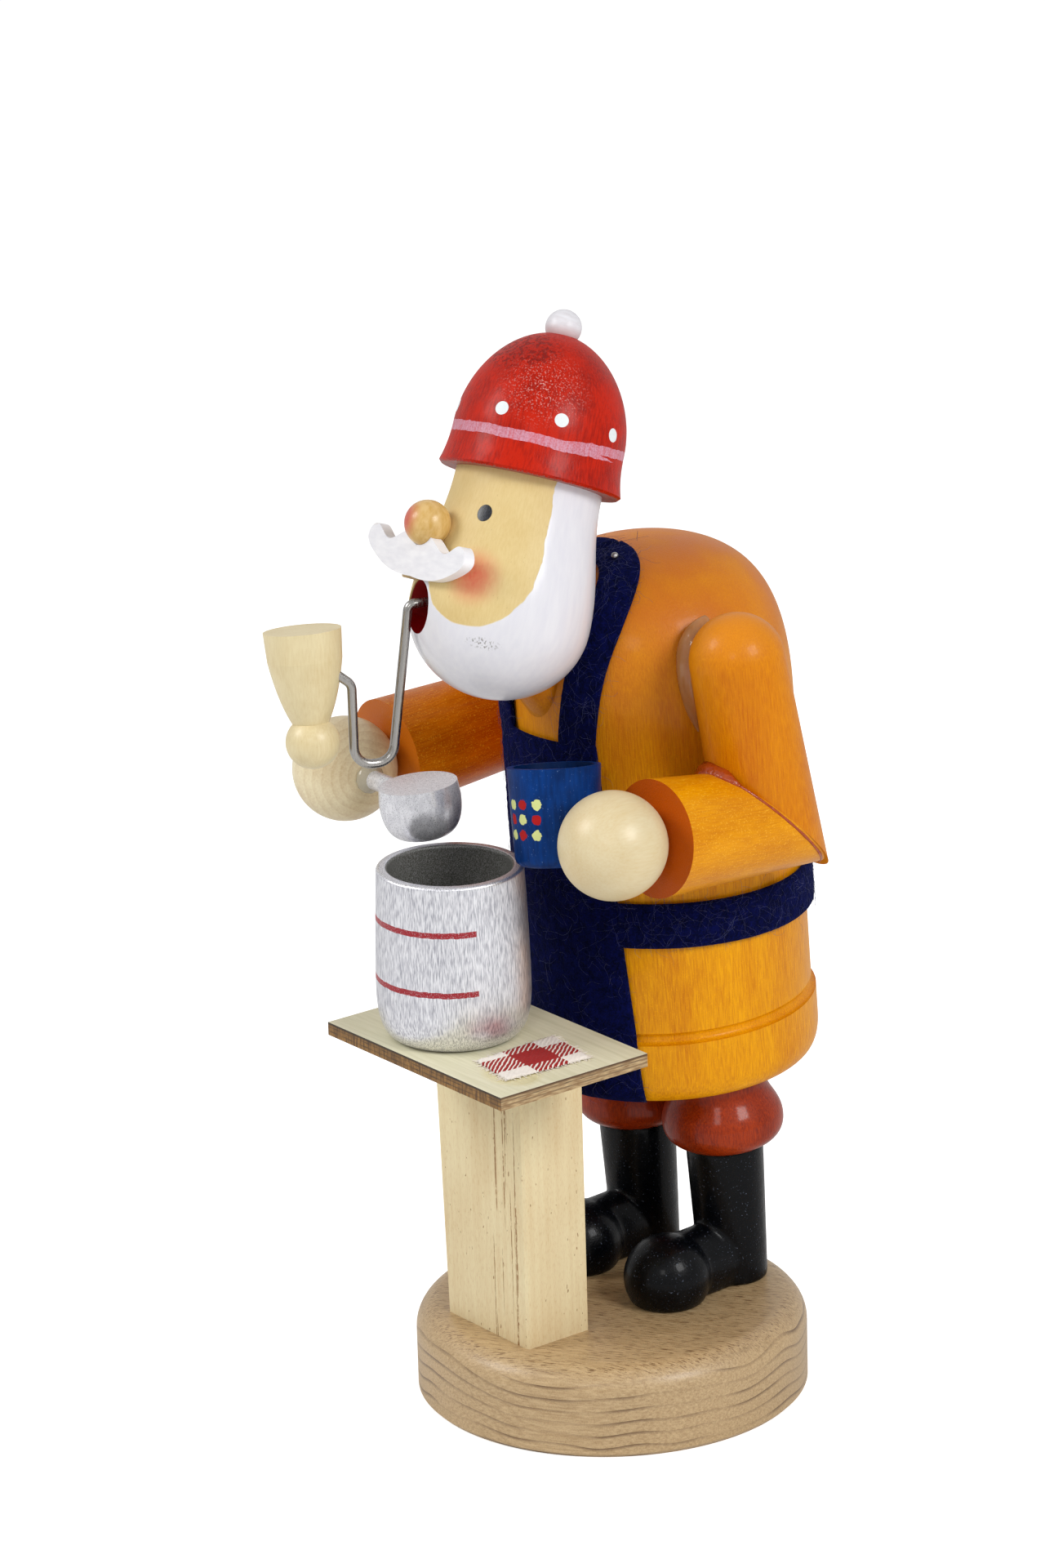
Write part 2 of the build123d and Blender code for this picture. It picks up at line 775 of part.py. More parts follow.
# Head: hat tenon, mouth, smoke channel down to the neck, peg hole and pipe hole
mouth = around_head(mouth_turn_angle, mouth_level, head_beard_diameter / 2)
mouth_front = Vector(mouth.z_dir.X, mouth.z_dir.Y, 0).normalized()
pipe_plane = Plane(mouth.origin, x_dir=mouth_front, z_dir=mouth_front.cross(Vector(0, 0, 1)))
wire_start = pipe_plane.from_local_coords((-wire_inside, wire_rise, 0))
peg = around_head(peg_turn_angle, peg_level, head_beard_diameter / 2)
head_outside = head_blank(0)
with BuildPart() as head:
    add(head_outside)
    with BuildSketch(head_frame):
        Circle(hat_tenon_diameter / 2)
    extrude(amount=hat_tenon_height)
    with BuildSketch(spot(mouth, 0, 0, -mouth_depth)):
        Circle(mouth_diameter / 2)
    extrude(amount=mouth_depth + overrun, mode=Mode.SUBTRACT)
    with BuildSketch(mouth):
        Circle(smoke_channel_diameter / 2)
    extrude(amount=-head_beard_diameter / 2, mode=Mode.SUBTRACT)
    with BuildSketch(neck_frame):
        Circle(neck_dowel_diameter / 2 + glue_gap)
    extrude(amount=neck_dowel_above + glue_gap, mode=Mode.SUBTRACT)
    with BuildSketch(spot(neck_frame, 0, 0, neck_dowel_above)):
        Circle(neck_bore_diameter / 2)
    extrude(amount=neck_dowel_diameter, mode=Mode.SUBTRACT)
    with BuildSketch(Plane(wire_start, z_dir=mouth_front)):
        Circle(wire_diameter / 2 + slide_gap)
    extrude(amount=wire_inside, mode=Mode.SUBTRACT)
    with BuildSketch(spot(peg, 0, 0, -peg_bite - glue_gap)):
        Circle(peg_diameter / 2 + glue_gap)
    extrude(amount=peg_bite + overrun, mode=Mode.SUBTRACT)
head.part.label = "head"
export_step(head.part, "parts/head.step")

# Hat: flared band, then a dome
brim = hat_brim_diameter / 2
hat_side = hat_side_diameter / 2
hat_dome = hat_height - hat_band_height
with BuildPart() as hat:
    with BuildSketch(upright(head_frame)):
        with BuildLine():
            Line((0, 0), (brim - hat_brim_round, 0))
            Line((brim - hat_brim_round, 0), (brim, hat_brim_round))
            Bezier((brim, hat_brim_round), (hat_side, hat_band_height / 2), (hat_side, hat_band_height))
            Bezier(
                (hat_side, hat_band_height),
                (hat_side, hat_band_height + hat_dome * hat_dome_share),
                (hat_side * hat_dome_share, hat_height),
                (0, hat_height),
            )
            Line((0, hat_height), (0, 0))
        make_face()
    revolve(axis=spindle(head_frame))
    with BuildSketch(head_frame):
        Circle(hat_tenon_diameter / 2 + glue_gap)
    extrude(amount=hat_tenon_height + glue_gap, mode=Mode.SUBTRACT)
hat.part.label = "hat"
export_step(hat.part, "parts/hat.step")

with BuildPart() as pompom:
    with Locations(spot(head_frame, 0, 0, hat_height + pompom_lift)):
        Sphere(pompom_diameter / 2)
    add(hat.part, mode=Mode.SUBTRACT)
pompom.part.label = "pompom"
export_step(pompom.part, "parts/pompom.step")

nose_frame = around_head(nose_turn_angle, nose_depth, nose_reach)
with BuildPart() as nose:
    with Locations(nose_frame):
        Sphere(nose_diameter / 2)
    add(head_outside, mode=Mode.SUBTRACT)
nose.part.label = "nose"
export_step(nose.part, "parts/nose.step")

# Moustache: a flat cut-out, both wings from one half outline in shares of its size
wing_shares = ((0.26, 1.0), (0.6, 0.0), (0.88, 0.95), (1.0, -0.1), (0.82, -1.5), (0.4, -2.6))
wing = [(moustache_half_width * across, moustache_lobe * above) for across, above in wing_shares]
moustache_low = (0, -moustache_drop)
face_frame = around_head(moustache_turn_angle, moustache_level, moustache_reach)
moustache_turned = Rotation(moustache_pitch_angle, moustache_yaw_angle, moustache_roll_angle)
moustache_frame = Plane(face_frame.location * moustache_turned)
with BuildPart() as moustache:
    with BuildSketch(moustache_frame):
        with BuildLine():
            Spline((0, 0), *wing, moustache_low)
            mirror(about=Plane.YZ)
        make_face()
    extrude(amount=moustache_thickness)
    add(head_seat, mode=Mode.SUBTRACT)
    with Locations(nose_frame):
        Sphere(nose_diameter / 2 + glue_gap, mode=Mode.SUBTRACT)
moustache.part.label = "moustache"
export_step(moustache.part, "parts/moustache.step")

with BuildPart() as moustache_peg:
    with BuildSketch(spot(peg, 0, 0, -peg_bite)):
        Circle(peg_diameter / 2)
    extrude(amount=peg_bite + peg_reach)
    add(moustache.part, mode=Mode.SUBTRACT)
moustache_peg.part.label = "moustache_peg"
export_step(moustache_peg.part, "parts/moustache_peg.step")

# Rod of the ladle, from the right hand to the cup
rod_end = ladle_frame.from_local_coords((0, 0, ladle_rod_height))
rod_way = (rod_end - right_hand.origin).normalized()
rod_frame = Plane(right_hand.origin + rod_way * (hand_diameter / 2 - ladle_rod_bite), z_dir=rod_way)
rod_length = (rod_end - right_hand.origin).length - hand_diameter / 2

# Arms; the left hand has a seat for the mug, the right hand a hole for the ladle's rod
mug_seat = mug_blank(glue_gap)
for name in sides:
    shoulder = hips.from_local_coords(shoulders[name])
    elbow = hips.from_local_coords(elbows[name])
    palm = hips.from_local_coords(hands[name])
    down = (elbow - shoulder).normalized()
    ahead = (palm - elbow).normalized()
    upper_length = (elbow - shoulder).length
    cuff_reach = (palm - elbow).length - hand_seat
    mitre = Plane(elbow, z_dir=down + ahead)
    shoulder_radius = shoulder_diameter / 2
    elbow_radius = elbow_diameter / 2
    upper_frame = Plane(shoulder, z_dir=down)
    fore_frame = Plane(elbow, z_dir=ahead)
    arm_flare = (elbow_radius - shoulder_radius) / upper_length
    cuff_flare = (cuff_diameter / 2 - elbow_radius) / cuff_reach

    with BuildPart() as upper_arm:
        with BuildSketch(upright(upper_frame)):
            with BuildLine():
                ThreePointArc(
                    (0, -shoulder_radius),
                    (shoulder_radius * math.sin(math.pi / 4), -shoulder_radius * math.cos(math.pi / 4)),
                    (shoulder_radius, 0),
                )
                Line(
                    (shoulder_radius, 0),
                    (elbow_radius + elbow_diameter * arm_flare, upper_length + elbow_diameter),
                )
                Line(
                    (elbow_radius + elbow_diameter * arm_flare, upper_length + elbow_diameter),
                    (0, upper_length + elbow_diameter),
                )
                Line((0, upper_length + elbow_diameter), (0, -shoulder_radius))
            make_face()
        revolve(axis=spindle(upper_frame))
        split(bisect_by=mitre, keep=Keep.BOTTOM)
        add(torso_outside, mode=Mode.SUBTRACT)
        with BuildSketch(arm_dowel_frames[name]):
            Circle(arm_dowel_diameter / 2 + glue_gap)
        extrude(amount=arm_dowel_reach, mode=Mode.SUBTRACT)
        with BuildSketch(mitre):
            Circle(elbow_dowel_diameter / 2 + glue_gap)
        extrude(amount=-arm_dowel_bite - glue_gap, mode=Mode.SUBTRACT)
    upper_arm.part.label = f"upper_arm_{name}"
    export_step(upper_arm.part, f"parts/upper_arm_{name}.step")

    with BuildPart() as forearm:
        with BuildSketch(upright(fore_frame)):
            with BuildLine():
                Polyline(
                    (0, -elbow_diameter),
                    (elbow_radius - elbow_diameter * cuff_flare, -elbow_diameter),
                    (cuff_diameter / 2, cuff_reach),
                    (0, cuff_reach),
                    close=True,
                )
            make_face()
        revolve(axis=spindle(fore_frame))
        split(bisect_by=mitre, keep=Keep.TOP)
        add(torso_outside, mode=Mode.SUBTRACT)
        with BuildSketch(mitre):
            Circle(elbow_dowel_diameter / 2 + glue_gap)
        extrude(amount=arm_dowel_bite + glue_gap, mode=Mode.SUBTRACT)
        with BuildSketch(spot(fore_frame, 0, 0, cuff_reach)):
            Circle(arm_dowel_diameter / 2 + glue_gap)
        extrude(amount=-arm_dowel_bite - glue_gap, mode=Mode.SUBTRACT)
    forearm.part.label = f"forearm_{name}"
    export_step(forearm.part, f"parts/forearm_{name}.step")

    with BuildPart() as hand:
        with Locations(Plane(palm, z_dir=ahead)):
            Sphere(hand_diameter / 2)
        with BuildSketch(spot(fore_frame, 0, 0, cuff_reach)):
            Circle(cuff_diameter / 2)
        extrude(amount=-overrun, mode=Mode.SUBTRACT)
        with BuildSketch(spot(fore_frame, 0, 0, cuff_reach)):
            Circle(arm_dowel_diameter / 2 + glue_gap)
        extrude(amount=arm_dowel_bite + glue_gap, mode=Mode.SUBTRACT)
        if name == "left":
            add(mug_seat, mode=Mode.SUBTRACT)
        else:
            with BuildSketch(spot(rod_frame, 0, 0, -glue_gap)):
                Circle(ladle_rod_diameter / 2 + glue_gap)
            extrude(amount=hand_diameter / 2, mode=Mode.SUBTRACT)
    hand.part.label = f"hand_{name}"
    export_step(hand.part, f"parts/hand_{name}.step")

    with BuildPart() as shoulder_dowel:
        with BuildSketch(arm_dowel_frames[name]):
            Circle(arm_dowel_diameter / 2)
        extrude(amount=arm_dowel_reach)
    shoulder_dowel.part.label = f"shoulder_dowel_{name}"
    export_step(shoulder_dowel.part, f"parts/shoulder_dowel_{name}.step")

    with BuildPart() as elbow_dowel:
        with BuildSketch(mitre):
            Circle(elbow_dowel_diameter / 2)
        extrude(amount=arm_dowel_bite, both=True)
    elbow_dowel.part.label = f"elbow_dowel_{name}"
    export_step(elbow_dowel.part, f"parts/elbow_dowel_{name}.step")

    with BuildPart() as wrist_dowel:
        with BuildSketch(spot(fore_frame, 0, 0, cuff_reach)):
            Circle(arm_dowel_diameter / 2)
        extrude(amount=arm_dowel_bite, both=True)
    wrist_dowel.part.label = f"wrist_dowel_{name}"
    export_step(wrist_dowel.part, f"parts/wrist_dowel_{name}.step")

# Mug
with BuildPart() as mug:
    add(mug_blank(0))
    with BuildSketch(upright(mug_frame)):
        Polygon(
            (0, mug_floor),
            (mug_foot_diameter / 2 - mug_wall, mug_floor),
            (mug_rim_diameter / 2 - mug_wall, mug_height),
            (0, mug_height),
            align=None,
        )
    revolve(axis=spindle(mug_frame), mode=Mode.SUBTRACT)
mug.part.label = "mug"
export_step(mug.part, "parts/mug.step")

# Ladle: solid cup with a flat top, and the rod from the right hand
ladle_top = ladle_top_diameter / 2
ladle_belly = ladle_belly_diameter / 2
ladle_foot = ladle_foot_diameter / 2
with BuildPart() as ladle_cup:
    with BuildSketch(upright(ladle_frame)):
        with BuildLine():
            Line((0, 0), (ladle_foot, 0))
            Bezier((ladle_foot, 0), (ladle_belly, 0), (ladle_belly, ladle_belly_height))
            Line((ladle_belly, ladle_belly_height), (ladle_top, ladle_height))
            Line((ladle_top, ladle_height), (0, ladle_height))
            Line((0, ladle_height), (0, 0))
        make_face()
    revolve(axis=spindle(ladle_frame))
    with BuildSketch(rod_frame):
        Circle(ladle_rod_diameter / 2 + glue_gap)
    extrude(amount=rod_length + ladle_rod_bite - ladle_belly + ladle_rod_bite + glue_gap, mode=Mode.SUBTRACT)
ladle_cup.part.label = "ladle_cup"
export_step(ladle_cup.part, "parts/ladle_cup.step")

with BuildPart() as ladle_handle:
    with BuildSketch(rod_frame):
        Circle(ladle_rod_diameter / 2)
    extrude(amount=rod_length + ladle_rod_bite - ladle_belly + ladle_rod_bite)
ladle_handle.part.label = "ladle_handle"
export_step(ladle_handle.part, "parts/ladle_handle.step")

# Felt: apron, neck strap and belt are cut from one skin over the torso
felt_inside = torso_blank(felt_gap)
felt_outside = torso_blank(felt_gap + felt_thickness)
front = upright(hips)
bib_half = bib_top_width / 2
waist_half = apron_waist_width / 2
hem_half = apron_hem_width / 2
apron_outline = (
    (-bib_half, bib_top_height),
    (-waist_half, apron_waist_height),
    (-hem_half, apron_hem_height),
    (hem_half, apron_hem_height),
    (waist_half, apron_waist_height),
    (bib_half, bib_top_height),
)
with BuildPart() as apron:
    with BuildSketch(front):
        Polygon(*apron_outline, align=None)
    extrude(amount=torso_hem_diameter)
    add(felt_outside, mode=Mode.INTERSECT)
    add(felt_inside, mode=Mode.SUBTRACT)
apron.part.label = "apron"
export_step(apron.part, "parts/apron.step")

with BuildPart() as neck_strap:
    with BuildSketch(front):
        for side in sides.values():
            Polygon(
                (side * (strap_foot_out - strap_width / 2), bib_top_height),
                (side * (strap_foot_out + strap_width / 2), bib_top_height),
                (side * (strap_turn_out + strap_width / 2), strap_turn_height),
                (side * (strap_turn_out - strap_width / 2), strap_turn_height),
                align=None,
            )
    extrude(amount=torso_hem_diameter)
    with BuildSketch(spot(hips, 0, -strap_loop_forward, strap_turn_height)):
        Circle(strap_loop_radius + strap_width / 2)
        Circle(strap_loop_radius - strap_width / 2, mode=Mode.SUBTRACT)
    extrude(amount=torso_height)
    add(felt_outside, mode=Mode.INTERSECT)
    add(felt_inside, mode=Mode.SUBTRACT)
    add(head_seat, mode=Mode.SUBTRACT)
    for frame in pin_frames:
        with BuildSketch(frame):
            Circle(pin_diameter / 2 + glue_gap)
        extrude(amount=2 * overrun, both=True, mode=Mode.SUBTRACT)
neck_strap.part.label = "neck_strap"
export_step(neck_strap.part, "parts/neck_strap.step")

belt_frame = Plane(spot(hips, 0, 0, belt_height).location * Rotation(belt_tilt_angle, 0, 0))
with BuildPart() as waist_belt:
    with BuildSketch(belt_frame):
        Circle(torso_hem_diameter)
    extrude(amount=belt_width / 2, both=True)
    add(felt_outside, mode=Mode.INTERSECT)
    add(felt_inside, mode=Mode.SUBTRACT)
    with BuildSketch(front):
        Polygon(*apron_outline, align=None)
    extrude(amount=torso_hem_diameter, mode=Mode.SUBTRACT)
waist_belt.part.label = "waist_belt"
export_step(waist_belt.part, "parts/waist_belt.step")

with BuildPart() as strap_pins:
    for frame in pin_frames:
        with BuildSketch(spot(frame, 0, 0, -pin_length)):
            Circle(pin_diameter / 2)
        extrude(amount=pin_length + felt_gap + felt_thickness + pin_head_diameter / 2)
        with Locations(spot(frame, 0, 0, felt_gap + felt_thickness + glue_gap + pin_head_diameter / 2)):
            Sphere(pin_head_diameter / 2)
strap_pins.part.label = "strap_pins"
export_step(strap_pins.part, "parts/strap_pins.step")

# Pipe: bent wire from the mouth, down, round and up into the bowl
bowl_foot = pipe_plane.from_local_coords((bowl_out, -bowl_drop, 0))
bowl_frame = leaning(bowl_foot, bowl_lean_angle, bowl_heading_angle)
bowl_ball = bowl_ball_diameter / 2
bowl_neck = bowl_neck_diameter / 2
with BuildPart() as pipe_stem:
    with BuildLine(pipe_plane) as wire_path:
        FilletPolyline(
            (-wire_inside + glue_gap, wire_rise),
            (wire_out, wire_rise),
            (wire_bottom_out, -wire_bottom_drop),
            (wire_bottom_out + wire_loop_width, -wire_bottom_drop),
            (wire_bottom_out + wire_loop_width, -wire_top_drop),
            (wire_tip_out, -wire_tip_drop),
            radius=[wire_mouth_bend, wire_loop_bend, wire_loop_bend, wire_bowl_bend],
        )
    with BuildSketch(wire_path.line ^ 0):
        Circle(wire_diameter / 2)
    sweep()
pipe_stem.part.label = "pipe_stem"
export_step(pipe_stem.part, "parts/pipe_stem.step")

with BuildPart() as pipe_bowl:
    with BuildSketch(upright(bowl_frame)):
        with BuildLine():
            ThreePointArc((0, 0), (bowl_ball, bowl_ball_height / 2), (bowl_neck, bowl_neck_height))
            Bezier(
                (bowl_neck, bowl_neck_height),
                (bowl_belly_diameter / 2, bowl_belly_height),
                (bowl_waist_diameter / 2, bowl_waist_height),
            )
            Line((bowl_waist_diameter / 2, bowl_waist_height), (bowl_top_diameter / 2, bowl_height))
            Line((bowl_top_diameter / 2, bowl_height), (0, bowl_height))
            Line((0, bowl_height), (0, 0))
        make_face()
    revolve(axis=spindle(bowl_frame))
    tip_start = pipe_plane.from_local_coords((wire_bottom_out + wire_loop_width, -wire_top_drop, 0))
    tip_end = pipe_plane.from_local_coords((wire_tip_out, -wire_tip_drop, 0))
    with BuildSketch(Plane(tip_end, z_dir=tip_start - tip_end)):
        Circle(wire_diameter / 2 + glue_gap)
    extrude(amount=(tip_end - tip_start).length, mode=Mode.SUBTRACT)
pipe_bowl.part.label = "pipe_bowl"
export_step(pipe_bowl.part, "parts/pipe_bowl.step")
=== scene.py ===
import math
import random

import bmesh
import bpy
from mathutils import Matrix, Vector, noise


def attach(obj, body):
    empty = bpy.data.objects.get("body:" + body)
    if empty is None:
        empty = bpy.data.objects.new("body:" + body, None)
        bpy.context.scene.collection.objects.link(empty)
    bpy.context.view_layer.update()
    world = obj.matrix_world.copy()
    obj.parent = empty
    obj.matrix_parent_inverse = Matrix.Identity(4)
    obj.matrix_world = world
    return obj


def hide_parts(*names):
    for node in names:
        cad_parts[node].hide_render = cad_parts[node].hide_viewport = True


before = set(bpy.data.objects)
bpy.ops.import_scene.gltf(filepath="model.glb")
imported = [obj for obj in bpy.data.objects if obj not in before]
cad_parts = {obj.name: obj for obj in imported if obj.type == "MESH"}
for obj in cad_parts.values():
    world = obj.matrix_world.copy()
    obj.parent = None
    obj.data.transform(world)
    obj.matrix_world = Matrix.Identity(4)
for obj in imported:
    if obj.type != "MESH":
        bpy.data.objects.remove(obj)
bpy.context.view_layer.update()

bl_info = {
    "name": "Incense Smoker",
    "version": (1, 0, 0),
    "blender": (4, 5, 0),
    "location": "View3D > Sidebar > Smoker",
    "description": "Stained, painted and felted surfaces of a turned incense smoker, with its stage",
    "category": "Add Mesh",
}

MM = 0.001
MIX = "ShaderNodeMix"
RANGE = "ShaderNodeMapRange"
SPLIT = "ShaderNodeSeparateXYZ"
VECTOR = "ShaderNodeVectorMath"
# Settings of a mix of two colours, which are its inputs 6 and 7
COLOURS = {"data_type": "RGBA", "out": 2}
SIDES = (("left", 1), ("right", -1))


def leaning(x, y, z, lean, heading):
    """Frame of a piece: its origin in millimetres, and its axis leaning towards a heading, +X being zero."""
    tip = math.sin(math.radians(lean))
    way = math.radians(heading)
    up = Vector((tip * math.cos(way), tip * math.sin(way), math.cos(math.radians(lean))))
    across = Vector((0, 1, 0)).cross(up).normalized()
    back = up.cross(across)
    place = Matrix((across, back, up)).transposed().to_4x4()
    place.translation = Vector((x, y, z)) * MM
    return place


# Where the pieces stand, as in the part's source: origin in mm, lean and heading in degrees
BOARD_TOP = 76.7
PATCH = (22.1, -33.4, BOARD_TOP)
ROOM = Matrix()
HIPS = leaning(-4.3, 19.54, 57.93, 3.4, -90)
HEAD = leaning(-2.6, -11.42, 170.99, 24.4, 106.2)
MUG = leaning(16.4, -21.98, 108.12, 13.4, 147.8)
POT = leaning(2.0, -34.7, BOARD_TOP, 0, 0)
LADLE = leaning(-12.4, -29.21, 107.92, 6.0, 217.6)
RIGHT_HAND = Vector((-40.3, -26.19, 113.22))
LEFT_ELBOW = Vector((30.4, 13.33, 111.85))

# The turned body in the frame of the hips, in mm: straight up to the shoulder, then a dome
BODY_RADIUS = 25.7
FOOT_RADIUS = 22.9
HEM_RADIUS = 26.5
HEM_TOP = 11.7
FOOT_HEIGHT = 6.0
WALL_START = 13.9
SHOULDER = 68.1
DOME_TOP = 97.6
# Handles of the dome's curve: height of the one over the shoulder, radius of the one beside the top
SHOULDER_HANDLE = 89.64
TOP_HANDLE = 18.76
# What lies on the body: heights of the apron's upper edge and of the belt, widths of strap and belt
BIB_TOP = 68.3
WAIST = 33.7
STRAP_WIDTH = 7.2
BELT_WIDTH = 8.4


def linear(code):
    """Linear colour, with alpha, of an sRGB hex value."""
    shares = [int(code[i : i + 2], 16) / 255 for i in (0, 2, 4)]
    return (*[s / 12.92 if s <= 0.04045 else ((s + 0.055) / 1.055) ** 2.4 for s in shares], 1.0)


def add(tree, kind, *values, out=0, links=None, **settings):
    """Adds a node, or a maths node by its operation, and returns an output; hex codes are sRGB colours."""
    item = tree.nodes.new("ShaderNodeMath" if kind.isupper() else kind)
    if kind.isupper():
        item.operation = kind
    for key, value in settings.items():
        setattr(item, key, value)
    for key, value in [*enumerate(values), *(links or {}).items()]:
        if isinstance(value, bpy.types.NodeSocket):
            tree.links.new(value, item.inputs[key])
        else:
            item.inputs[key].default_value = linear(value) if isinstance(value, str) else value
    return item.outputs[out] if len(item.outputs) else None


def begin(name, place=None):
    """A new material, its empty node tree, and the surface point in millimetres in the frame of a piece."""
    material = bpy.data.materials.new(name)
    material.use_nodes = True
    tree = material.node_tree
    tree.nodes.clear()
    if place is None:
        return material, tree, None
    back = place.inverted()
    point = add(tree, "ShaderNodeTexCoord", out=3)
    scale = (1 / MM,) * 3
    point = add(tree, "ShaderNodeMapping", point, back.translation / MM, back.to_euler(), scale)
    return material, tree, point


def surface(tree, colour, roughness, relief=None, depth=0.0, **constants):
    """Ends a material; relief is a height that stands so many millimetres proud where it is 1."""
    links = {"Base Color": colour, "Roughness": roughness}
    links.update({key.replace("_", " "): value for key, value in constants.items()})
    if relief is not None:
        bump = {"Height": relief, "Distance": depth * MM, "Strength": 1.0}
        links["Normal"] = add(tree, "ShaderNodeBump", links=bump)
    add(tree, "ShaderNodeOutputMaterial", add(tree, "ShaderNodeBsdfPrincipled", links=links))


def mottle(tree, point, size, detail=3.0, seed=0.0):
    """Random patches of about so many millimetres, or so many along x, y and z."""
    shares = [1 / s for s in (size if isinstance(size, tuple) else (size,) * 3)]
    stretched = add(tree, VECTOR, point, shares, (seed, seed, seed), operation="MULTIPLY_ADD")
    return add(tree, "ShaderNodeTexNoise", links={"Vector": stretched, "Scale": 1.0, "Detail": detail})


def blob(tree, point, centre, size):
    """1 at a centre and 0 at the edge of an ellipsoid, in millimetres."""
    away = add(tree, VECTOR, point, centre, operation="SUBTRACT")
    away = add(tree, VECTOR, away, [1 / s for s in size], operation="MULTIPLY")
    far = add(tree, VECTOR, away, out=1, operation="LENGTH")
    return add(tree, "SUBTRACT", 1.0, far, use_clamp=True)


def summed(tree, first, *others):
    """The sum of patches, each mapped from one range to another, held between 0 and 1."""
    total = add(tree, RANGE, *first)
    for other in others:
        total = add(tree, "ADD", total, add(tree, RANGE, *other), use_clamp=True)
    return total


def facing(tree):
    """How far the surface looks along x, y and z."""
    return add(tree, SPLIT, add(tree, "ShaderNodeNewGeometry", out=1)).node.outputs


def turn_of(tree, point):
    """Angle of a point round its piece's axis, 0 in front."""
    x, y, _ = add(tree, SPLIT, point).node.outputs
    return add(tree, "ARCTAN2", x, add(tree, "MULTIPLY", y, -1.0))


def reach_of(tree, point):
    """Distance of a point from its piece's axis."""
    level = add(tree, VECTOR, point, (1, 1, 0), operation="MULTIPLY")
    return add(tree, VECTOR, level, out=1, operation="LENGTH")


def on_patch(x, y, z):
    """A point over the middle of the gingham patch, from millimetres to metres."""
    return Vector((PATCH[0] + x, PATCH[1] + y, PATCH[2] + z)) * MM


def dress(material, *names):
    """Gives CAD nodes a material."""
    for name in names:
        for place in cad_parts[name].material_slots:
            place.material = material


def show(name, data, material):
    """An object of a mesh or a curve, with its material, put into the scene."""
    data.materials.append(material)
    made = bpy.data.objects.new(name, data)
    bpy.context.scene.collection.objects.link(made)
    return made


def piece(name, points, faces, material):
    """A smooth mesh object from points in metres."""
    mesh = bpy.data.meshes.new(name)
    mesh.from_pydata(points, [], faces)
    mesh.polygons.foreach_set("use_smooth", [True] * len(mesh.polygons))
    return show(name, mesh, material)


def sheet_faces(columns, rows):
    """Faces of two grids of points, the upper side first; the lower side looks the other way."""
    faces = []
    count = columns * rows
    for j in range(rows - 1):
        for i in range(columns - 1):
            a = j * columns + i
            faces.append((a, a + 1, a + columns + 1, a + columns))
            faces.append(tuple(count + corner for corner in (a + columns, a + columns + 1, a + 1, a)))
    return faces


def weld(made, reach, outward=False):
    """Joins the points of an object that lie within a reach of each other."""
    joined = bmesh.new()
    joined.from_mesh(made.data)
    bmesh.ops.remove_doubles(joined, verts=joined.verts, dist=reach)
    if outward:
        bmesh.ops.recalc_face_normals(joined, faces=joined.faces)
    joined.to_mesh(made.data)
    joined.free()


def threads(name, paths, radius, material):
    """Fine fibres as one curve object; each path is a list of points in metres."""
    curve = bpy.data.curves.new(name, "CURVE")
    curve.dimensions = "3D"
    curve.bevel_depth = radius * MM
    curve.bevel_resolution = 0
    curve.resolution_u = 2
    for path in paths:
        line = curve.splines.new("NURBS")
        line.points.add(len(path) - 1)
        for spot, point in zip(line.points, path):
            spot.co = (*point, 1.0)
        line.order_u = 3
        line.use_endpoint_u = True
    return show(name, curve, material)


def body_outline():
    """Radius and height of the body's outline: rounded foot, hem, straight wall, then the dome's curve."""
    outline = []
    for i in range(13):
        t = i / 12
        radius = FOOT_RADIUS * (1 - t) ** 2 + HEM_RADIUS * (1 - (1 - t) ** 2)
        outline.append((radius, FOOT_HEIGHT * t * t))
    outline += [(HEM_RADIUS, HEM_TOP), (BODY_RADIUS, WALL_START), (BODY_RADIUS, SHOULDER)]
    for i in range(1, 81):
        t = i / 80
        a, b, c, d = (1 - t) ** 3, 3 * t * (1 - t) ** 2, 3 * t * t * (1 - t), t**3
        height = SHOULDER * a + SHOULDER_HANDLE * b + DOME_TOP * (c + d)
        outline.append((BODY_RADIUS * (a + b) + TOP_HANDLE * c, height))
    return outline


OUTLINE = body_outline()
DOME = [spot for spot in OUTLINE if spot[1] >= SHOULDER]


def on_body(x, y, z):
    """Nearest way out from the body's axis: the point on its skin and the outward normal, in mm."""
    reach = math.hypot(x, y)
    middle = min(z, SHOULDER)
    wanted = math.atan2(z - middle, reach)
    for (r0, z0), (r1, z1) in zip(OUTLINE, OUTLINE[1:]):
        if z <= SHOULDER:
            low, high, target = z0, z1, z
        else:
            low, high, target = math.atan2(z0 - middle, r0), math.atan2(z1 - middle, r1), wanted
        if low <= target <= high and high > low:
            share = (target - low) / (high - low)
            r, h = r0 + (r1 - r0) * share, z0 + (z1 - z0) * share
            out = Vector((z1 - z0, r0 - r1)).normalized()
            c, s = (x / reach, y / reach) if reach > 1e-6 else (0.0, -1.0)
            return Vector((r * c, r * s, h)), Vector((out.x * c, out.x * s, out.y))
    return Vector((0, 0, DOME_TOP)), Vector((0, 0, 1))


def radius_at(z):
    """Radius of the dome at a height."""
    for (r0, z0), (r1, z1) in zip(OUTLINE, OUTLINE[1:]):
        if z0 <= z <= z1:
            return r0 + (r1 - r0) * (z - z0) / max(z1 - z0, 1e-6)
    return 0.0


def height_at(r):
    """Height of the dome over a radius."""
    for (r0, z0), (r1, z1) in zip(DOME, DOME[1:]):
        if r1 <= r <= r0:
            return z0 + (z1 - z0) * (r0 - r) / max(r0 - r1, 1e-6)
    return DOME_TOP


def length(label, about, default, low, high):
    """A length in millimetres that a user may change."""
    return bpy.props.FloatProperty(
        name=label, description=about, default=default * MM, min=low * MM, max=high * MM, unit="LENGTH"
    )


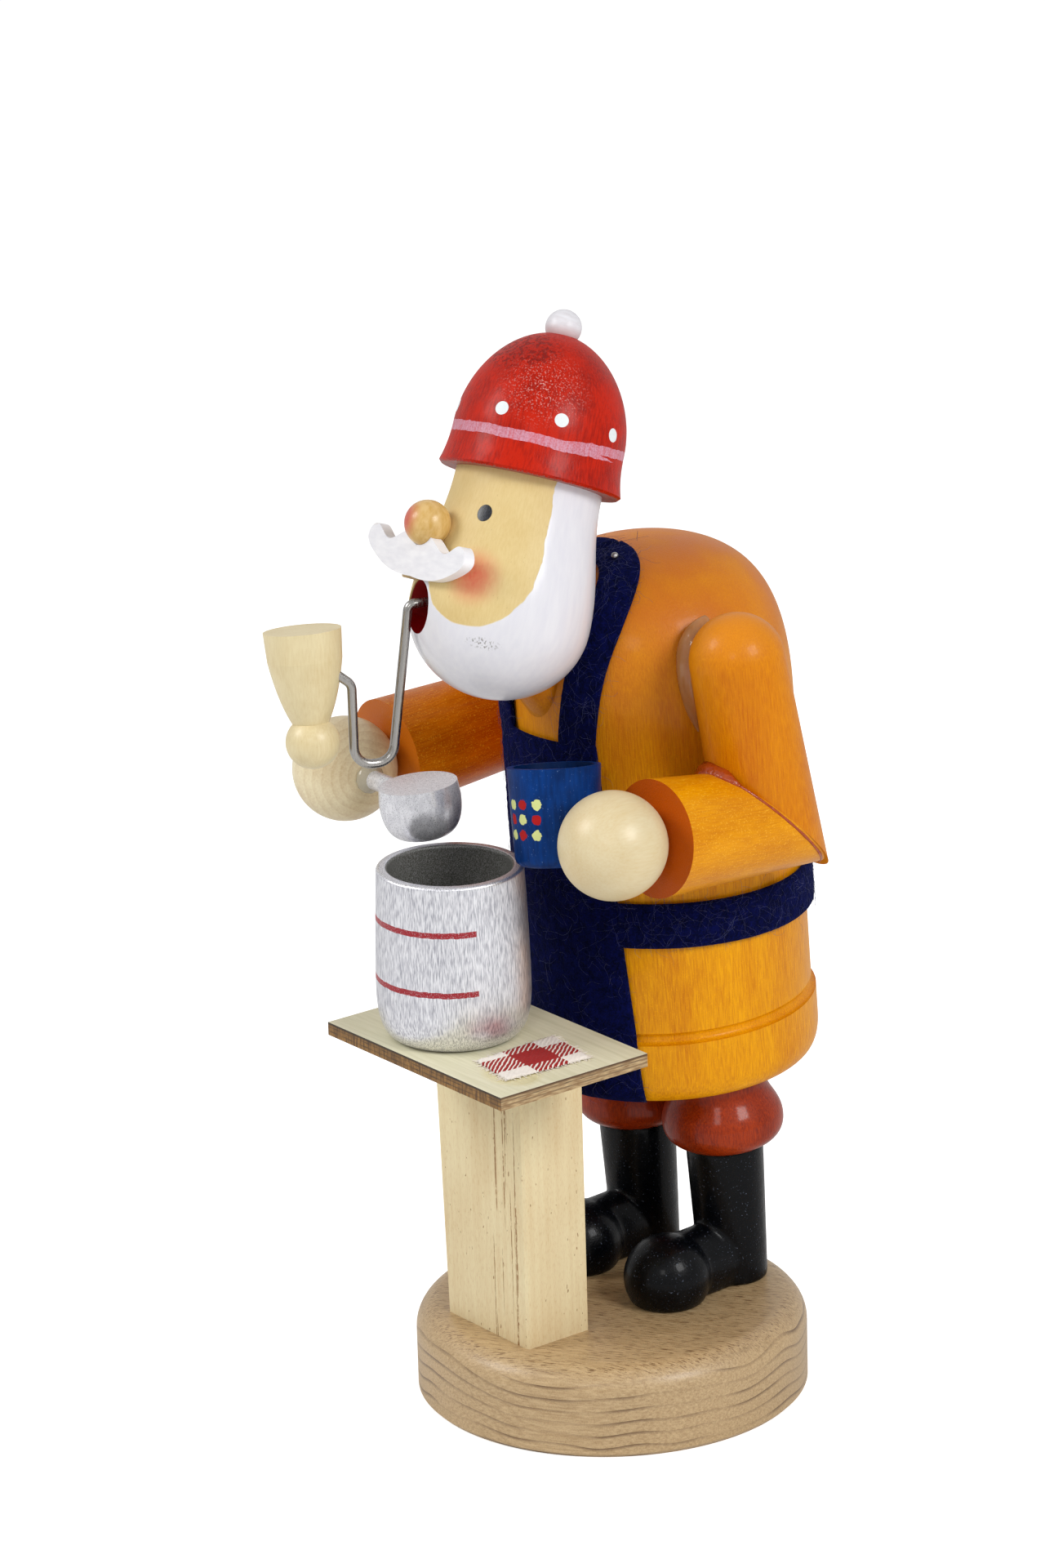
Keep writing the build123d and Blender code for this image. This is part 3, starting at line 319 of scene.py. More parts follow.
def colour(label, code):
    """A colour that a user may change."""
    return bpy.props.FloatVectorProperty(
        name=label, description=f"Colour of the {label.lower()}", subtype="COLOR", size=4, min=0, max=1,
        default=linear(code),
    )


class SmokerSizes(bpy.types.PropertyGroup):
    """Sizes of what is laid over the solids."""

    felt: length("Felt", "Thickness of the felt", 1.3, 0.5, 2)
    felt_gap: length("Felt gap", "Air between felt and wood", 0.15, 0, 1)
    fibre: length("Fibre", "Radius of a stray fibre", 0.014, 0, 0.1)
    cloth: length("Cloth", "Thickness of the gingham", 0.4, 0.1, 1)
    weld: length("Boot blend", "How coarsely toe and shaft of a boot are blended", 0.4, 0.2, 1)


class SmokerColours(bpy.types.PropertyGroup):
    """Main colours of the finishes."""

    amber: colour("Amber stain", "F0A600")
    amber_deep: colour("Deep amber stain", "C26A00")
    russet: colour("Russet stain", "A83600")
    skin: colour("Varnished face", "E0C88E")
    white: colour("White paint", "E6E5EA")
    red: colour("Red paint", "C21E00")
    stripe: colour("Hat stripe", "D9A2B6")
    blue: colour("Blue paint", "053C86")
    silver: colour("Silver paint", "F2F2F6")
    felt: colour("Navy felt", "0A104A")
    black: colour("Black paint", "030407")
    pale: colour("Pale wood", "DFCFA8")
    post: colour("Post wood", "E6D6AC")
    beech: colour("Beech", "CAAE84")
    board: colour("Board veneer", "E4DFC2")


def stained_wood(name, place, deep, bright, end_grain=None, coat=0.1):
    """Stained lime wood under thin varnish: fine lines up the grain, soft clouds and small bright specks.

    end_grain holds the two heights between which the end grain comes in, and its redder tone.
    """
    material, tree, point = begin(name, place)
    clouds = mottle(tree, point, (9.0, 9.0, 27.0), 2.0, 3.0)
    pores = mottle(tree, point, (0.22, 0.22, 3.2), 4.0, 7.0)
    specks = mottle(tree, point, 0.32, 2.0, 5.0)
    shade = add(tree, RANGE, clouds, 0.3, 0.7, 0.38, 0.78)
    fine = add(tree, RANGE, pores, 0.3, 0.7, -0.35, 0.35)
    dots = add(tree, RANGE, specks, 0.6, 0.7, 0.0, 0.3)
    share = add(tree, "ADD", add(tree, "ADD", shade, fine), dots, use_clamp=True)
    tone = add(tree, MIX, share, links={6: deep, 7: bright}, **COLOURS)
    if end_grain is not None:
        start, end, redder = end_grain
        high = add(tree, RANGE, add(tree, SPLIT, point, out=2), start, end, 0.0, 0.75)
        patchy = add(tree, RANGE, clouds, 0.3, 0.7, 1.2, 0.8)
        cover = add(tree, "MULTIPLY", high, patchy, use_clamp=True)
        tone = add(tree, MIX, cover, links={6: tone, 7: redder}, **COLOURS)
    rough = add(tree, RANGE, clouds, 0.3, 0.7, 0.32, 0.46)
    relief = add(tree, "ADD", pores, specks)
    surface(tree, tone, rough, relief, 0.05, Coat_Weight=coat, Coat_Roughness=0.14, Specular_IOR_Level=0.12)
    return material


def raw_wood(name, place, light, dark, grain, ring_width=0.0, gloss=0.4):
    """Sanded light wood: long grain, pores, and year rings round the frame's Z if they have a width."""
    material, tree, point = begin(name, place)
    long_grain = mottle(tree, point, grain, 4.0, 2.0)
    clouds = mottle(tree, point, 7.0, 2.0, 9.0)
    pores = mottle(tree, point, 0.25, 2.0, 5.0)
    share = summed(tree, (long_grain, 0.3, 0.75, 0.0, 0.45), (clouds, 0.3, 0.7, -0.2, 0.3))
    if ring_width:
        bent = add(tree, RANGE, clouds, 0.0, 1.0, 0.0, 1.2)
        across = add(tree, VECTOR, point, (1 / ring_width, 1 / ring_width, 0), operation="MULTIPLY")
        far = add(tree, "ADD", add(tree, VECTOR, across, out=1, operation="LENGTH"), bent)
        ring = add(tree, RANGE, add(tree, "FRACT", far), 0.3, 1.0, 0.0, 0.3)
        share = add(tree, "ADD", share, ring, use_clamp=True)
    dots = add(tree, RANGE, pores, 0.66, 0.74, 0.0, 0.35)
    share = add(tree, "ADD", share, dots, use_clamp=True)
    tone = add(tree, MIX, share, links={6: light, 7: dark}, **COLOURS)
    surface(tree, tone, gloss, share, -0.008, Coat_Weight=0.1, Coat_Roughness=0.25)
    return material


class SMOKER_OT_base(bpy.types.Operator):
    """Sanded beech for the base disc"""

    bl_idname = "smoker.base"
    bl_label = "Base disc"

    def execute(self, context):
        tones = context.scene.smoker_colours
        # Steamed beech, flat-sawn, sanded and waxed: short dark rays on top, wavy year lines round the edge
        material, tree, point = begin("beech_waxed", Matrix.Rotation(math.radians(35), 4, "Z"))
        on_top = add(tree, RANGE, facing(tree)[2], 0.5, 0.9)
        round_edge = add(tree, "SUBTRACT", 1.0, on_top)
        clouds = mottle(tree, point, (16.0, 16.0, 10.0), 2.0, 1.0)
        fibres = mottle(tree, point, (6.0, 0.35, 0.35), 4.0, 2.0)
        rays = mottle(tree, point, (2.2, 0.24, 0.35), 2.0, 4.0)
        pores = mottle(tree, point, 0.22, 2.0, 6.0)
        bend = add(tree, RANGE, mottle(tree, point, (22.0, 22.0, 40.0), 1.0, 8.0), 0.0, 1.0, -4.5, 4.5)
        wavy = add(tree, "ADD", add(tree, SPLIT, point, out=2), bend)
        year = add(tree, RANGE, add(tree, "FRACT", add(tree, "DIVIDE", wavy, 2.5)), 0.72, 0.98, 0.0, 0.9)
        line = add(tree, "MULTIPLY", year, add(tree, RANGE, clouds, 0.4, 0.6, 0.15, 1.0))
        line = add(tree, "MULTIPLY", line, round_edge)
        fleck = add(tree, "MULTIPLY", add(tree, RANGE, rays, 0.57, 0.63, 0.0, 0.85), on_top)
        share = summed(tree, (fibres, 0.3, 0.7, 0.0, 0.8), (pores, 0.45, 0.7, 0.0, 0.45))
        tone = tones.beech
        for cover, paint in ((share, "A78960"), (line, "604428"), (fleck, "6A4A2A")):
            tone = add(tree, MIX, cover, links={6: tone, 7: paint}, **COLOURS)
        surface(tree, tone, 0.42, share, -0.03, Coat_Weight=0.2, Coat_Roughness=0.22)
        dress(material, "base_disc")
        return {"FINISHED"}


class SMOKER_OT_table(bpy.types.Operator):
    """Cracked and streaked post, and the laser-cut board"""

    bl_idname = "smoker.table"
    bl_label = "Table"

    def execute(self, context):
        tones = context.scene.smoker_colours
        # Planed birch batten: straight pale streaks, a few brown pith flecks
        material, tree, point = begin("birch_planed", ROOM)
        streaks = mottle(tree, point, (1.1, 1.1, 60.0), 4.0, 1.5)
        lines = mottle(tree, point, (0.55, 0.55, 40.0), 1.0, 4.5)
        clouds = mottle(tree, point, (9.0, 9.0, 22.0), 2.0, 7.0)
        flecks = mottle(tree, point, (0.6, 0.6, 1.5), 1.0, 2.5)
        pores = mottle(tree, point, (0.25, 0.25, 1.0), 3.0, 3.5)
        share = summed(
            tree, (streaks, 0.4, 0.72, 0.0, 0.3), (clouds, 0.35, 0.7, -0.1, 0.3),
            (pores, 0.5, 0.75, 0.0, 0.45),
        )
        # A few long cracks run down the front, where it was planed against the grain
        front = add(tree, RANGE, facing(tree)[1], -0.9, -0.5, 1.0, 0.0)
        crack = add(tree, RANGE, lines, 0.58, 0.62, 0.0, 0.9)
        zone = add(tree, "COMPARE", add(tree, SPLIT, point), 4.5, 3.6)
        for mask in (add(tree, RANGE, pores, 0.35, 0.5), front, zone):
            crack = add(tree, "MULTIPLY", crack, mask)
        fleck = add(tree, RANGE, flecks, 0.75, 0.78, 0.0, 0.8)
        tone = tones.post
        for cover, paint in ((share, "CFB080"), (crack, "8E6230"), (fleck, "8A5C2C")):
            tone = add(tree, MIX, cover, links={6: tone, 7: paint}, **COLOURS)
        surface(tree, tone, 0.55, streaks, 0.04)
        dress(material, "table_post")

        # Three-ply board: white birch veneer, front edge burnt by the laser, plies showing on the left edge
        material, tree, point = begin("plywood_laser_cut", ROOM)
        height = add(tree, SPLIT, point, out=2)
        veneer = add(tree, RANGE, mottle(tree, point, (14.0, 0.7, 1.0), 3.0, 1.0), 0.35, 0.7, 0.0, 0.7)
        char = add(tree, RANGE, mottle(tree, point, (0.5, 0.5, 3.0), 3.0, 3.0), 0.35, 0.65)
        splinters = mottle(tree, point, (2.2, 2.2, 0.35), 3.0, 5.0)
        dirty = add(tree, RANGE, splinters, 0.35, 0.7)
        glue = blob(tree, point, (25.5, -40.5, BOARD_TOP), (6.5, 5.0, 3.0))
        glue = add(tree, RANGE, glue, 0.0, 0.25, 0.0, 0.5)
        # Round the pot the veneer is painted grey: a painted shadow of the pot
        pot_shadow = blob(tree, point, (2.0, -34.7, BOARD_TOP), (11.8, 11.8, 3.0))
        pot_shadow = add(tree, RANGE, pot_shadow, 0.0, 0.1, 0.0, 0.35)
        rim = add(tree, RANGE, height, 76.1, 76.5)
        seams = [add(tree, "COMPARE", height, level, 0.13) for level in (75.1, 75.9)]
        seam = add(tree, "MULTIPLY", add(tree, "MAXIMUM", *seams), dirty)
        plies = "8A6A44"
        for cover, paint in ((dirty, "CDB184"), (seam, "3E2A14"), (rim, "54391F")):
            plies = add(tree, MIX, cover, links={6: plies, 7: paint}, **COLOURS)
        burnt = "5A3C18"
        for cover, paint in ((char, "9C7238"), (seam, "3E2A14"), (rim, "2E1F10")):
            burnt = add(tree, MIX, cover, links={6: burnt, 7: paint}, **COLOURS)
        side, front = [
            add(tree, RANGE, add(tree, "ABSOLUTE", way), 0.45, 0.55) for way in facing(tree)[:2]
        ]
        tone = tones.board
        for cover, paint in (
            (veneer, "D0CBA8"), (glue, "D9CB8E"), (pot_shadow, "8C8B80"), (front, burnt), (side, plies),
        ):
            tone = add(tree, MIX, cover, links={6: tone, 7: paint}, **COLOURS)
        surface(tree, tone, add(tree, RANGE, glue, 0.0, 0.5, 0.55, 0.22), splinters, 0.05)
        dress(material, "table_board")
        return {"FINISHED"}


class SMOKER_OT_pot(bpy.types.Operator):
    """Silver painted pot with two red stripes"""

    bl_idname = "smoker.pot"
    bl_label = "Pot"

    def execute(self, context):
        tones = context.scene.smoker_colours
        # Aluminium paint on turned wood: it shines in upright strokes broken by grain; the bore is painted
        # dull dark grey as painted shade
        material, tree, point = begin("aluminium_paint_pot", POT)
        height = add(tree, SPLIT, point, out=2)
        strokes = mottle(tree, point, (0.18, 0.18, 1.9), 3.0, 1.0)
        flakes = mottle(tree, point, 0.2, 2.0, 3.0)
        pits = mottle(tree, point, (0.5, 0.5, 2.2), 3.0, 5.0)
        # The stripes end 72 degrees each side of the front
        printed = add(tree, RANGE, add(tree, "ABSOLUTE", turn_of(tree, point)), 1.25, 1.265, 1.0, 0.0)
        wobble = add(tree, RANGE, mottle(tree, point, (1.2, 1.2, 9.0), 2.0, 8.0), 0.0, 1.0, -0.18, 0.18)
        level = add(tree, "ADD", height, wobble)
        stripes = [add(tree, "COMPARE", level, middle, 0.52) for middle in (22.3, 11.5)]
        missed = add(tree, RANGE, flakes, 0.58, 0.66, 1.0, 0.55)
        red = add(tree, "MULTIPLY", add(tree, "ADD", *stripes, use_clamp=True), printed)
        red = add(tree, "MULTIPLY", red, missed)
        shade = add(tree, RANGE, strokes, 0.32, 0.6)
        speck = add(tree, RANGE, pits, 0.68, 0.74, 0.0, 0.35)
        # Inside the bore the silver is darkened to dull grey: painted shade in the hollow
        shaded_inside = add(tree, RANGE, reach_of(tree, point), 11.2, 11.35, 1.0, 0.0)
        shaded_inside = add(tree, "MULTIPLY", shaded_inside, add(tree, RANGE, height, 3.0, 3.5))
        cover = add(tree, RANGE, flakes, 0.4, 0.65)
        bore_shade = add(tree, MIX, cover, links={6: "55554F", 7: "8E8E8C"}, **COLOURS)
        tone = "A8A8B2"
        for cover, paint in ((shade, tones.silver), (speck, "6E6E78"), (shaded_inside, bore_shade), (red, "9E1020")):
            tone = add(tree, MIX, cover, links={6: tone, 7: paint}, **COLOURS)
        metal = add(tree, RANGE, add(tree, "MAXIMUM", red, shaded_inside), 0.0, 1.0, 0.85, 0.1)
        rough = add(tree, RANGE, flakes, 0.3, 0.7, 0.3, 0.42)
        surface(tree, tone, rough, strokes, 0.055, Metallic=metal)
        dress(material, "pot")
        return {"FINISHED"}


class SMOKER_OT_cloth(bpy.types.Operator):
    """Gingham patch with frayed edges, glued on the board"""

    bl_idname = "smoker.cloth"
    bl_label = "Gingham patch"

    def execute(self, context):
        sizes = context.scene.smoker_sizes
        # Cotton twill gingham with ribs 0.7 mm apart: red, white and ribbed half-tone squares 6 to 7 mm wide
        place = leaning(*PATCH, 0, 0) @ Matrix.Rotation(math.radians(-5), 4, "Z")
        material, tree, point = begin("cotton_gingham", place)
        x, y, _ = add(tree, SPLIT, point).node.outputs
        x = add(tree, "ADD", x, add(tree, RANGE, mottle(tree, point, 1.5, 2.0, 2.0), 0.0, 1.0, -0.35, 0.35))
        red_x = add(tree, "COMPARE", x, 0.0, 3.0)
        red_y = add(tree, "COMPARE", y, 0.6, 3.4)
        rib = add(tree, "FRACT", add(tree, "DIVIDE", add(tree, "ADD", x, y), 1.05))
        half = add(tree, "MAXIMUM", red_x, red_y)
        ribbed = add(tree, "MULTIPLY", half, add(tree, RANGE, rib, 0.3, 0.42))
        red = add(tree, "MAXIMUM", add(tree, "MULTIPLY", red_x, red_y), ribbed)
        yarn = mottle(tree, point, 0.3, 3.0, 4.0)
        white = add(tree, MIX, yarn, links={6: "EEE3D8", 7: "F6F0E8"}, **COLOURS)
        crimson = add(tree, MIX, yarn, links={6: "86100F", 7: "AE1412"}, **COLOURS)
        relief = add(tree, "ADD", add(tree, RANGE, rib, 0.0, 0.5), yarn)
        tone = add(tree, MIX, red, links={6: white, 7: crimson}, **COLOURS)
        surface(tree, tone, 0.85, relief, 0.12)
        corners = [Vector(c) for c in ((-5.5, -8.0), (5.5, -9.8), (6.5, 8.0), (-6.5, 9.8))]
        across, along = 26, 36
        thick, low, fray = sizes.cloth / MM, 0.04, 0.3
        points = []
        for upper in (True, False):
            for j in range(along + 1):
                for i in range(across + 1):
                    u, v = i / across, j / along
                    spot = corners[0].lerp(corners[1], u).lerp(corners[3].lerp(corners[2], u), v)
                    at_rim = min(u * across, (1 - u) * across, v * along, (1 - v) * along) < 0.5
                    wave = 0.16 * noise.noise(Vector((spot.x, spot.y, 0)) * 0.35) + 0.12
                    if at_rim:
                        seeds = (Vector((spot.y * 1.3, 5, 0)), Vector((spot.x * 1.3, 9, 0)))
                        spot = spot + Vector([noise.noise(seed) for seed in seeds]) * fray
                    lift = thick + max(0.0, wave) if upper else max(low, wave)
                    points.append(on_patch(spot.x, spot.y, thick * 0.5 if at_rim else lift))
        patch = piece("gingham_patch", points, sheet_faces(across + 1, along + 1), material)
        weld(patch, 0.001 * MM)
        # Loose ends of the white cotton yarn, round all four edges
        yarn_material, tree, _ = begin("cotton_yarn_ends")
        surface(tree, "EFE6DA", 0.9, Sheen_Weight=0.2)
        chance = random.Random(4)
        paths = []
        for edge in range(4):
            start, end = corners[edge], corners[(edge + 1) % 4]
            out = Vector((end.y - start.y, start.x - end.x)).normalized()
            for k in range(26):
                spot = start.lerp(end, (k + chance.random()) / 26)
                long = chance.uniform(0.25, 1.0)
                swerve = Vector((chance.uniform(-0.3, 0.3), chance.uniform(-0.3, 0.3)))
                path = []
                for share in (-0.4, 0.3, 1.0):
                    at = spot + out * long * share + swerve * max(share, 0)
                    path.append(on_patch(at.x, at.y, 0.22 - 0.08 * share))
                paths.append(path)
        ends = threads("gingham_yarn_ends", paths, 0.07, yarn_material)
        for made in (patch, ends):
            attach(made, "root")
        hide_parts("table_cloth")
        return {"FINISHED"}


class SMOKER_OT_boots(bpy.types.Operator):
    """Black boots, each shaft and toe blended into one"""

    bl_idname = "smoker.boots"
    bl_label = "Boots"

    def execute(self, context):
        tones = context.scene.smoker_colours
        # Thick black enamel on turned wood: very smooth, with dust specks
        material, tree, point = begin("black_enamel", ROOM)
        pale_specks = mottle(tree, point, 0.35, 2.0, 3.0)
        cover = add(tree, RANGE, pale_specks, 0.66, 0.76, 0.0, 0.7)
        tone = add(tree, MIX, cover, links={6: tones.black, 7: "6A7488"}, **COLOURS)
        rough = add(tree, RANGE, mottle(tree, point, 2.0, 2.0, 6.0), 0.3, 0.7, 0.26, 0.4)
        surface(tree, tone, rough, pale_specks, 0.06, Specular_IOR_Level=0.1, Coat_Weight=0.1, Coat_Roughness=0.1)
        for side, _ in SIDES:
            shapes = bmesh.new()
            names = (f"boot_shaft_{side}", f"boot_toe_{side}")
            for name in names:
                shapes.from_mesh(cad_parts[name].data)
            mesh = bpy.data.meshes.new(f"boot_{side}")
            shapes.to_mesh(mesh)
            shapes.free()
            boot = show(f"boot_{side}", mesh, material)
            blend = boot.modifiers.new("blend", "REMESH")
            blend.mode = "VOXEL"
            blend.voxel_size = context.scene.smoker_sizes.weld
            soften = boot.modifiers.new("soften", "CORRECTIVE_SMOOTH")
            soften.smooth_type = "LENGTH_WEIGHTED"
            soften.use_only_smooth = True
            soften.iterations = 12
            bpy.context.view_layer.update()
            evaluated = boot.evaluated_get(context.evaluated_depsgraph_get())
            whole = bpy.data.meshes.new_from_object(evaluated)
            boot.modifiers.clear()
            boot.data = whole
            whole.materials.clear()
            whole.materials.append(material)
            whole.polygons.foreach_set("use_smooth", [True] * len(whole.polygons))
            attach(boot, "root")
            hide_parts(*names)
        return {"FINISHED"}


class SMOKER_OT_trousers(bpy.types.Operator):
    """Russet stain for the trouser legs"""

    bl_idname = "smoker.trousers"
    bl_label = "Trouser legs"

    def execute(self, context):
        tones = context.scene.smoker_colours
        # Spirit stain under glossy varnish on turned lime: fine streaks along the leg
        material = stained_wood("russet_stain", HIPS, "5E0C00", tones.russet, coat=0.3)
        dress(material, "trouser_left", "trouser_right")
        return {"FINISHED"}


class SMOKER_OT_body(bpy.types.Operator):
    """Amber stain for the body, the arms and the ring of the neck"""

    bl_idname = "smoker.body"
    bl_label = "Body and arms"

    def execute(self, context):
        tones = context.scene.smoker_colours
        # Amber spirit stain under varnish: yellow on long grain, redder on end grain
        end_grain = (52.0, 90.0, "CC7020")
        material = stained_wood("amber_stain_body", HIPS, tones.amber_deep, tones.amber, end_grain)
        dress(material, "torso", "neck_collar")
        material = stained_wood("amber_stain_upper_arm", HIPS, "C46600", "E08C00", (84.0, 94.0, "E08C28"))
        dress(material, "upper_arm_left", "upper_arm_right")
        # The forearms lie, so their grain does; the sawn end at the wrist has soaked up more stain
        for side, forward, rise, deep, bright, sawn in (
            ("left", -35.0, 5.7, "C87200", "E89A00", "B85000"),
            ("right", -39.3, -0.6, "B04C00", "E08000", "C86A10"),
        ):
            way = (HIPS.to_3x3() @ Vector((1.33, forward, rise))).normalized()
            along = way.to_track_quat("Z", "Y").to_matrix().to_4x4()
            material, tree, point = begin(f"amber_stain_forearm_{side}", along)
            clouds = mottle(tree, point, (5.0, 5.0, 14.0), 2.0, 3.0)
            pores = mottle(tree, point, (0.25, 0.25, 3.0), 4.0, 7.0)
            glint_noise = mottle(tree, point, 0.3, 2.0, 5.0)
            share = add(tree, RANGE, add(tree, "ADD", clouds, pores), 0.55, 1.3)
            # Pale yellow specks are painted glints on the varnish
            painted_glint = add(tree, RANGE, glint_noise, 0.58, 0.68, 0.0, 0.45)
            normal = add(tree, "ShaderNodeNewGeometry", out=1)
            cut = add(tree, RANGE, add(tree, VECTOR, normal, way, out=1, operation="DOT_PRODUCT"), 0.8, 0.95)
            tone = deep
            for cover, paint in ((share, bright), (painted_glint, "FFC840"), (cut, sawn)):
                tone = add(tree, MIX, cover, links={6: tone, 7: paint}, **COLOURS)
            relief = add(tree, "ADD", pores, glint_noise)
            surface(tree, tone, 0.36, relief, 0.06, Coat_Weight=0.1, Coat_Roughness=0.14,
                    Specular_IOR_Level=0.12)
            dress(material, f"forearm_{side}")
        return {"FINISHED"}


class SMOKER_OT_hands(bpy.types.Operator):
    """Pale wood for the hands and the pipe bowl"""

    bl_idname = "smoker.hands"
    bl_label = "Hands and bowl"

    def execute(self, context):
        tones = context.scene.smoker_colours
        # Turned balls of sanded, varnished maple: almost no grain on one, year rings on the other
        material = raw_wood("maple_ball_left", ROOM, tones.pale, "D4BA86", (0.35, 2.5, 0.35))
        dress(material, "hand_left")
        place = leaning(-37.5, -23.3, 111.7, 72, -37)
        material = raw_wood("maple_ball_right", place, "EEE0BA", "CEB488", (0.4, 0.4, 2.0), 1.5)
        dress(material, "hand_right")
        material = raw_wood("maple_bowl", ROOM, "E4D4A8", "D0B884", (0.35, 0.35, 2.5))
        dress(material, "pipe_bowl")
        return {"FINISHED"}


class SMOKER_OT_head(bpy.types.Operator):
    """Varnished face with eyes and cheeks, white painted hair and beard, red mouth"""

    bl_idname = "smoker.head"
    bl_label = "Head"

    def execute(self, context):
        tones = context.scene.smoker_colours
        # Turned lime wood, varnished on the face, with brushed white enamel round it
        material, tree, point = begin("painted_head", HEAD)
        grain = mottle(tree, point, (0.3, 0.3, 1.6), 3.0, 3.0)
        pore = mottle(tree, point, (0.3, 0.3, 0.6), 2.0, 8.0)
        clouds = mottle(tree, point, 6.0, 2.0, 6.0)
        brushed = mottle(tree, point, (1.1, 1.1, 7.0), 3.0, 5.0)
        # The face is a rounded field each side of the nose: 43 degrees and 19.6 mm from its middle
        turn = add(tree, "ADD", turn_of(tree, point), math.radians(9.0))
        wobble = add(tree, RANGE, mottle(tree, point, 4.0, 2.0, 2.0), 0.0, 1.0, -0.06, 0.06)
        aside = add(tree, "ADD", add(tree, "ABSOLUTE", turn), wobble)
        off = add(tree, "ABSOLUTE", add(tree, "SUBTRACT", aside, math.radians(40.0)))
        off = add(tree, "POWER", add(tree, "DIVIDE", off, math.radians(43.0)), 2.3)
        down = add(tree, "MULTIPLY", add(tree, SPLIT, point, out=2), -1.0)
        low = add(tree, "MAXIMUM", add(tree, "SUBTRACT", down, 8.0), 0.0)
        low = add(tree, "POWER", add(tree, "DIVIDE", low, 19.6), 2.3)
        painted = add(tree, RANGE, add(tree, "ADD", off, low), 0.985, 1.015)
        # Rouge is dabbed on both cheeks and fades out within 6.2 mm
        cheeks = ((8.1, -13.4, -19.2), (-11.9, -10.3, -19.2))
        cheeks = [blob(tree, point, cheek, (6.2,) * 3) for cheek in cheeks]
        rouge = add(tree, "MAXIMUM", *cheeks)
        rouge = add(tree, RANGE, rouge, 0.0, 0.9, 0.0, 0.85, interpolation_type="SMOOTHSTEP")
        dabs = add(tree, RANGE, mottle(tree, point, (0.6, 0.6, 0.9), 2.0, 4.0), 0.3, 0.7, 0.85, 1.05)
        rouge = add(tree, "MULTIPLY", rouge, dabs)
        share = summed(tree, (grain, 0.3, 0.75, 0.0, 0.45), (clouds, 0.3, 0.7, -0.1, 0.3))
        dark = add(tree, RANGE, pore, 0.68, 0.76, 0.0, 0.3)
        skin = tones.skin
        for cover, paint in ((share, "D2B474"), (dark, "A68450"), (rouge, "D8604C")):
            skin = add(tree, MIX, cover, links={6: skin, 7: paint}, **COLOURS)
        # A small speckled patch at the front foot of the beard turns brownish grey
        beard_foot_patch = blob(tree, point, (9.9, -9.6, -29.9), (3.6, 3.6, 1.2))
        beard_foot_patch = add(tree, "MULTIPLY", beard_foot_patch, add(tree, RANGE, pore, 0.5, 0.62))
        beard_foot_patch = add(tree, RANGE, beard_foot_patch, 0.05, 0.5, 0.0, 0.75)
        white = "E0DFE6"
        for cover, paint in ((add(tree, RANGE, brushed, 0.3, 0.7), tones.white), (beard_foot_patch, "6B655A")):
            white = add(tree, MIX, cover, links={6: white, 7: paint}, **COLOURS)
        # Eyes are stamped ovals, 2.8 mm by 3.2 mm
        eyes = ((5.95, -12.6, -7.9), (-9.8, -9.9, -7.9))
        eyes = [blob(tree, point, eye, (1.42, 1.6, 1.6)) for eye in eyes]
        eye = add(tree, RANGE, add(tree, "MAXIMUM", *eyes), 0.0, 0.06)
        pupil = add(tree, MIX, add(tree, RANGE, pore, 0.4, 0.7), links={6: "14161C", 7: "34373F"}, **COLOURS)
        # The bored mouth is painted inside: within 4.7 mm of the bore's axis, behind the skin of the beard
        way = Vector((-math.sin(math.radians(15)), -math.cos(math.radians(15)), 0))
        depth = add(tree, VECTOR, point, way, out=1, operation="DOT_PRODUCT")
        along = add(tree, VECTOR, way, operation="SCALE", links={"Scale": depth})
        along = add(tree, VECTOR, along, (0.0, 0.0, -25.6), operation="ADD")
        gap = add(tree, VECTOR, point, along, out=1, operation="DISTANCE")
        bored = add(tree, RANGE, gap, 4.62, 4.7, 1.0, 0.0)
        inner = add(tree, RANGE, reach_of(tree, point), 15.55, 15.75, 1.0, 0.0)
        bored = add(tree, "MULTIPLY", add(tree, "MULTIPLY", bored, inner), add(tree, RANGE, depth, 6.0, 7.0))
        tone = skin
        for cover, paint in ((painted, white), (eye, pupil), (bored, "8A080A")):
            tone = add(tree, MIX, cover, links={6: tone, 7: paint}, **COLOURS)
        coat = add(tree, "MAXIMUM", painted, eye)
        rough = add(tree, RANGE, coat, 0.0, 1.0, 0.55, 0.24)
        relief = add(tree, "ADD", coat, add(tree, RANGE, brushed, 0.0, 1.0, 0.0, 0.25))
        shine = add(tree, RANGE, painted, 0.0, 1.0, 0.03, 0.15)
        surface(tree, tone, rough, relief, 0.04, Coat_Weight=shine, Coat_Roughness=0.15,
                Specular_IOR_Level=0.3)
        dress(material, "head")
        return {"FINISHED"}


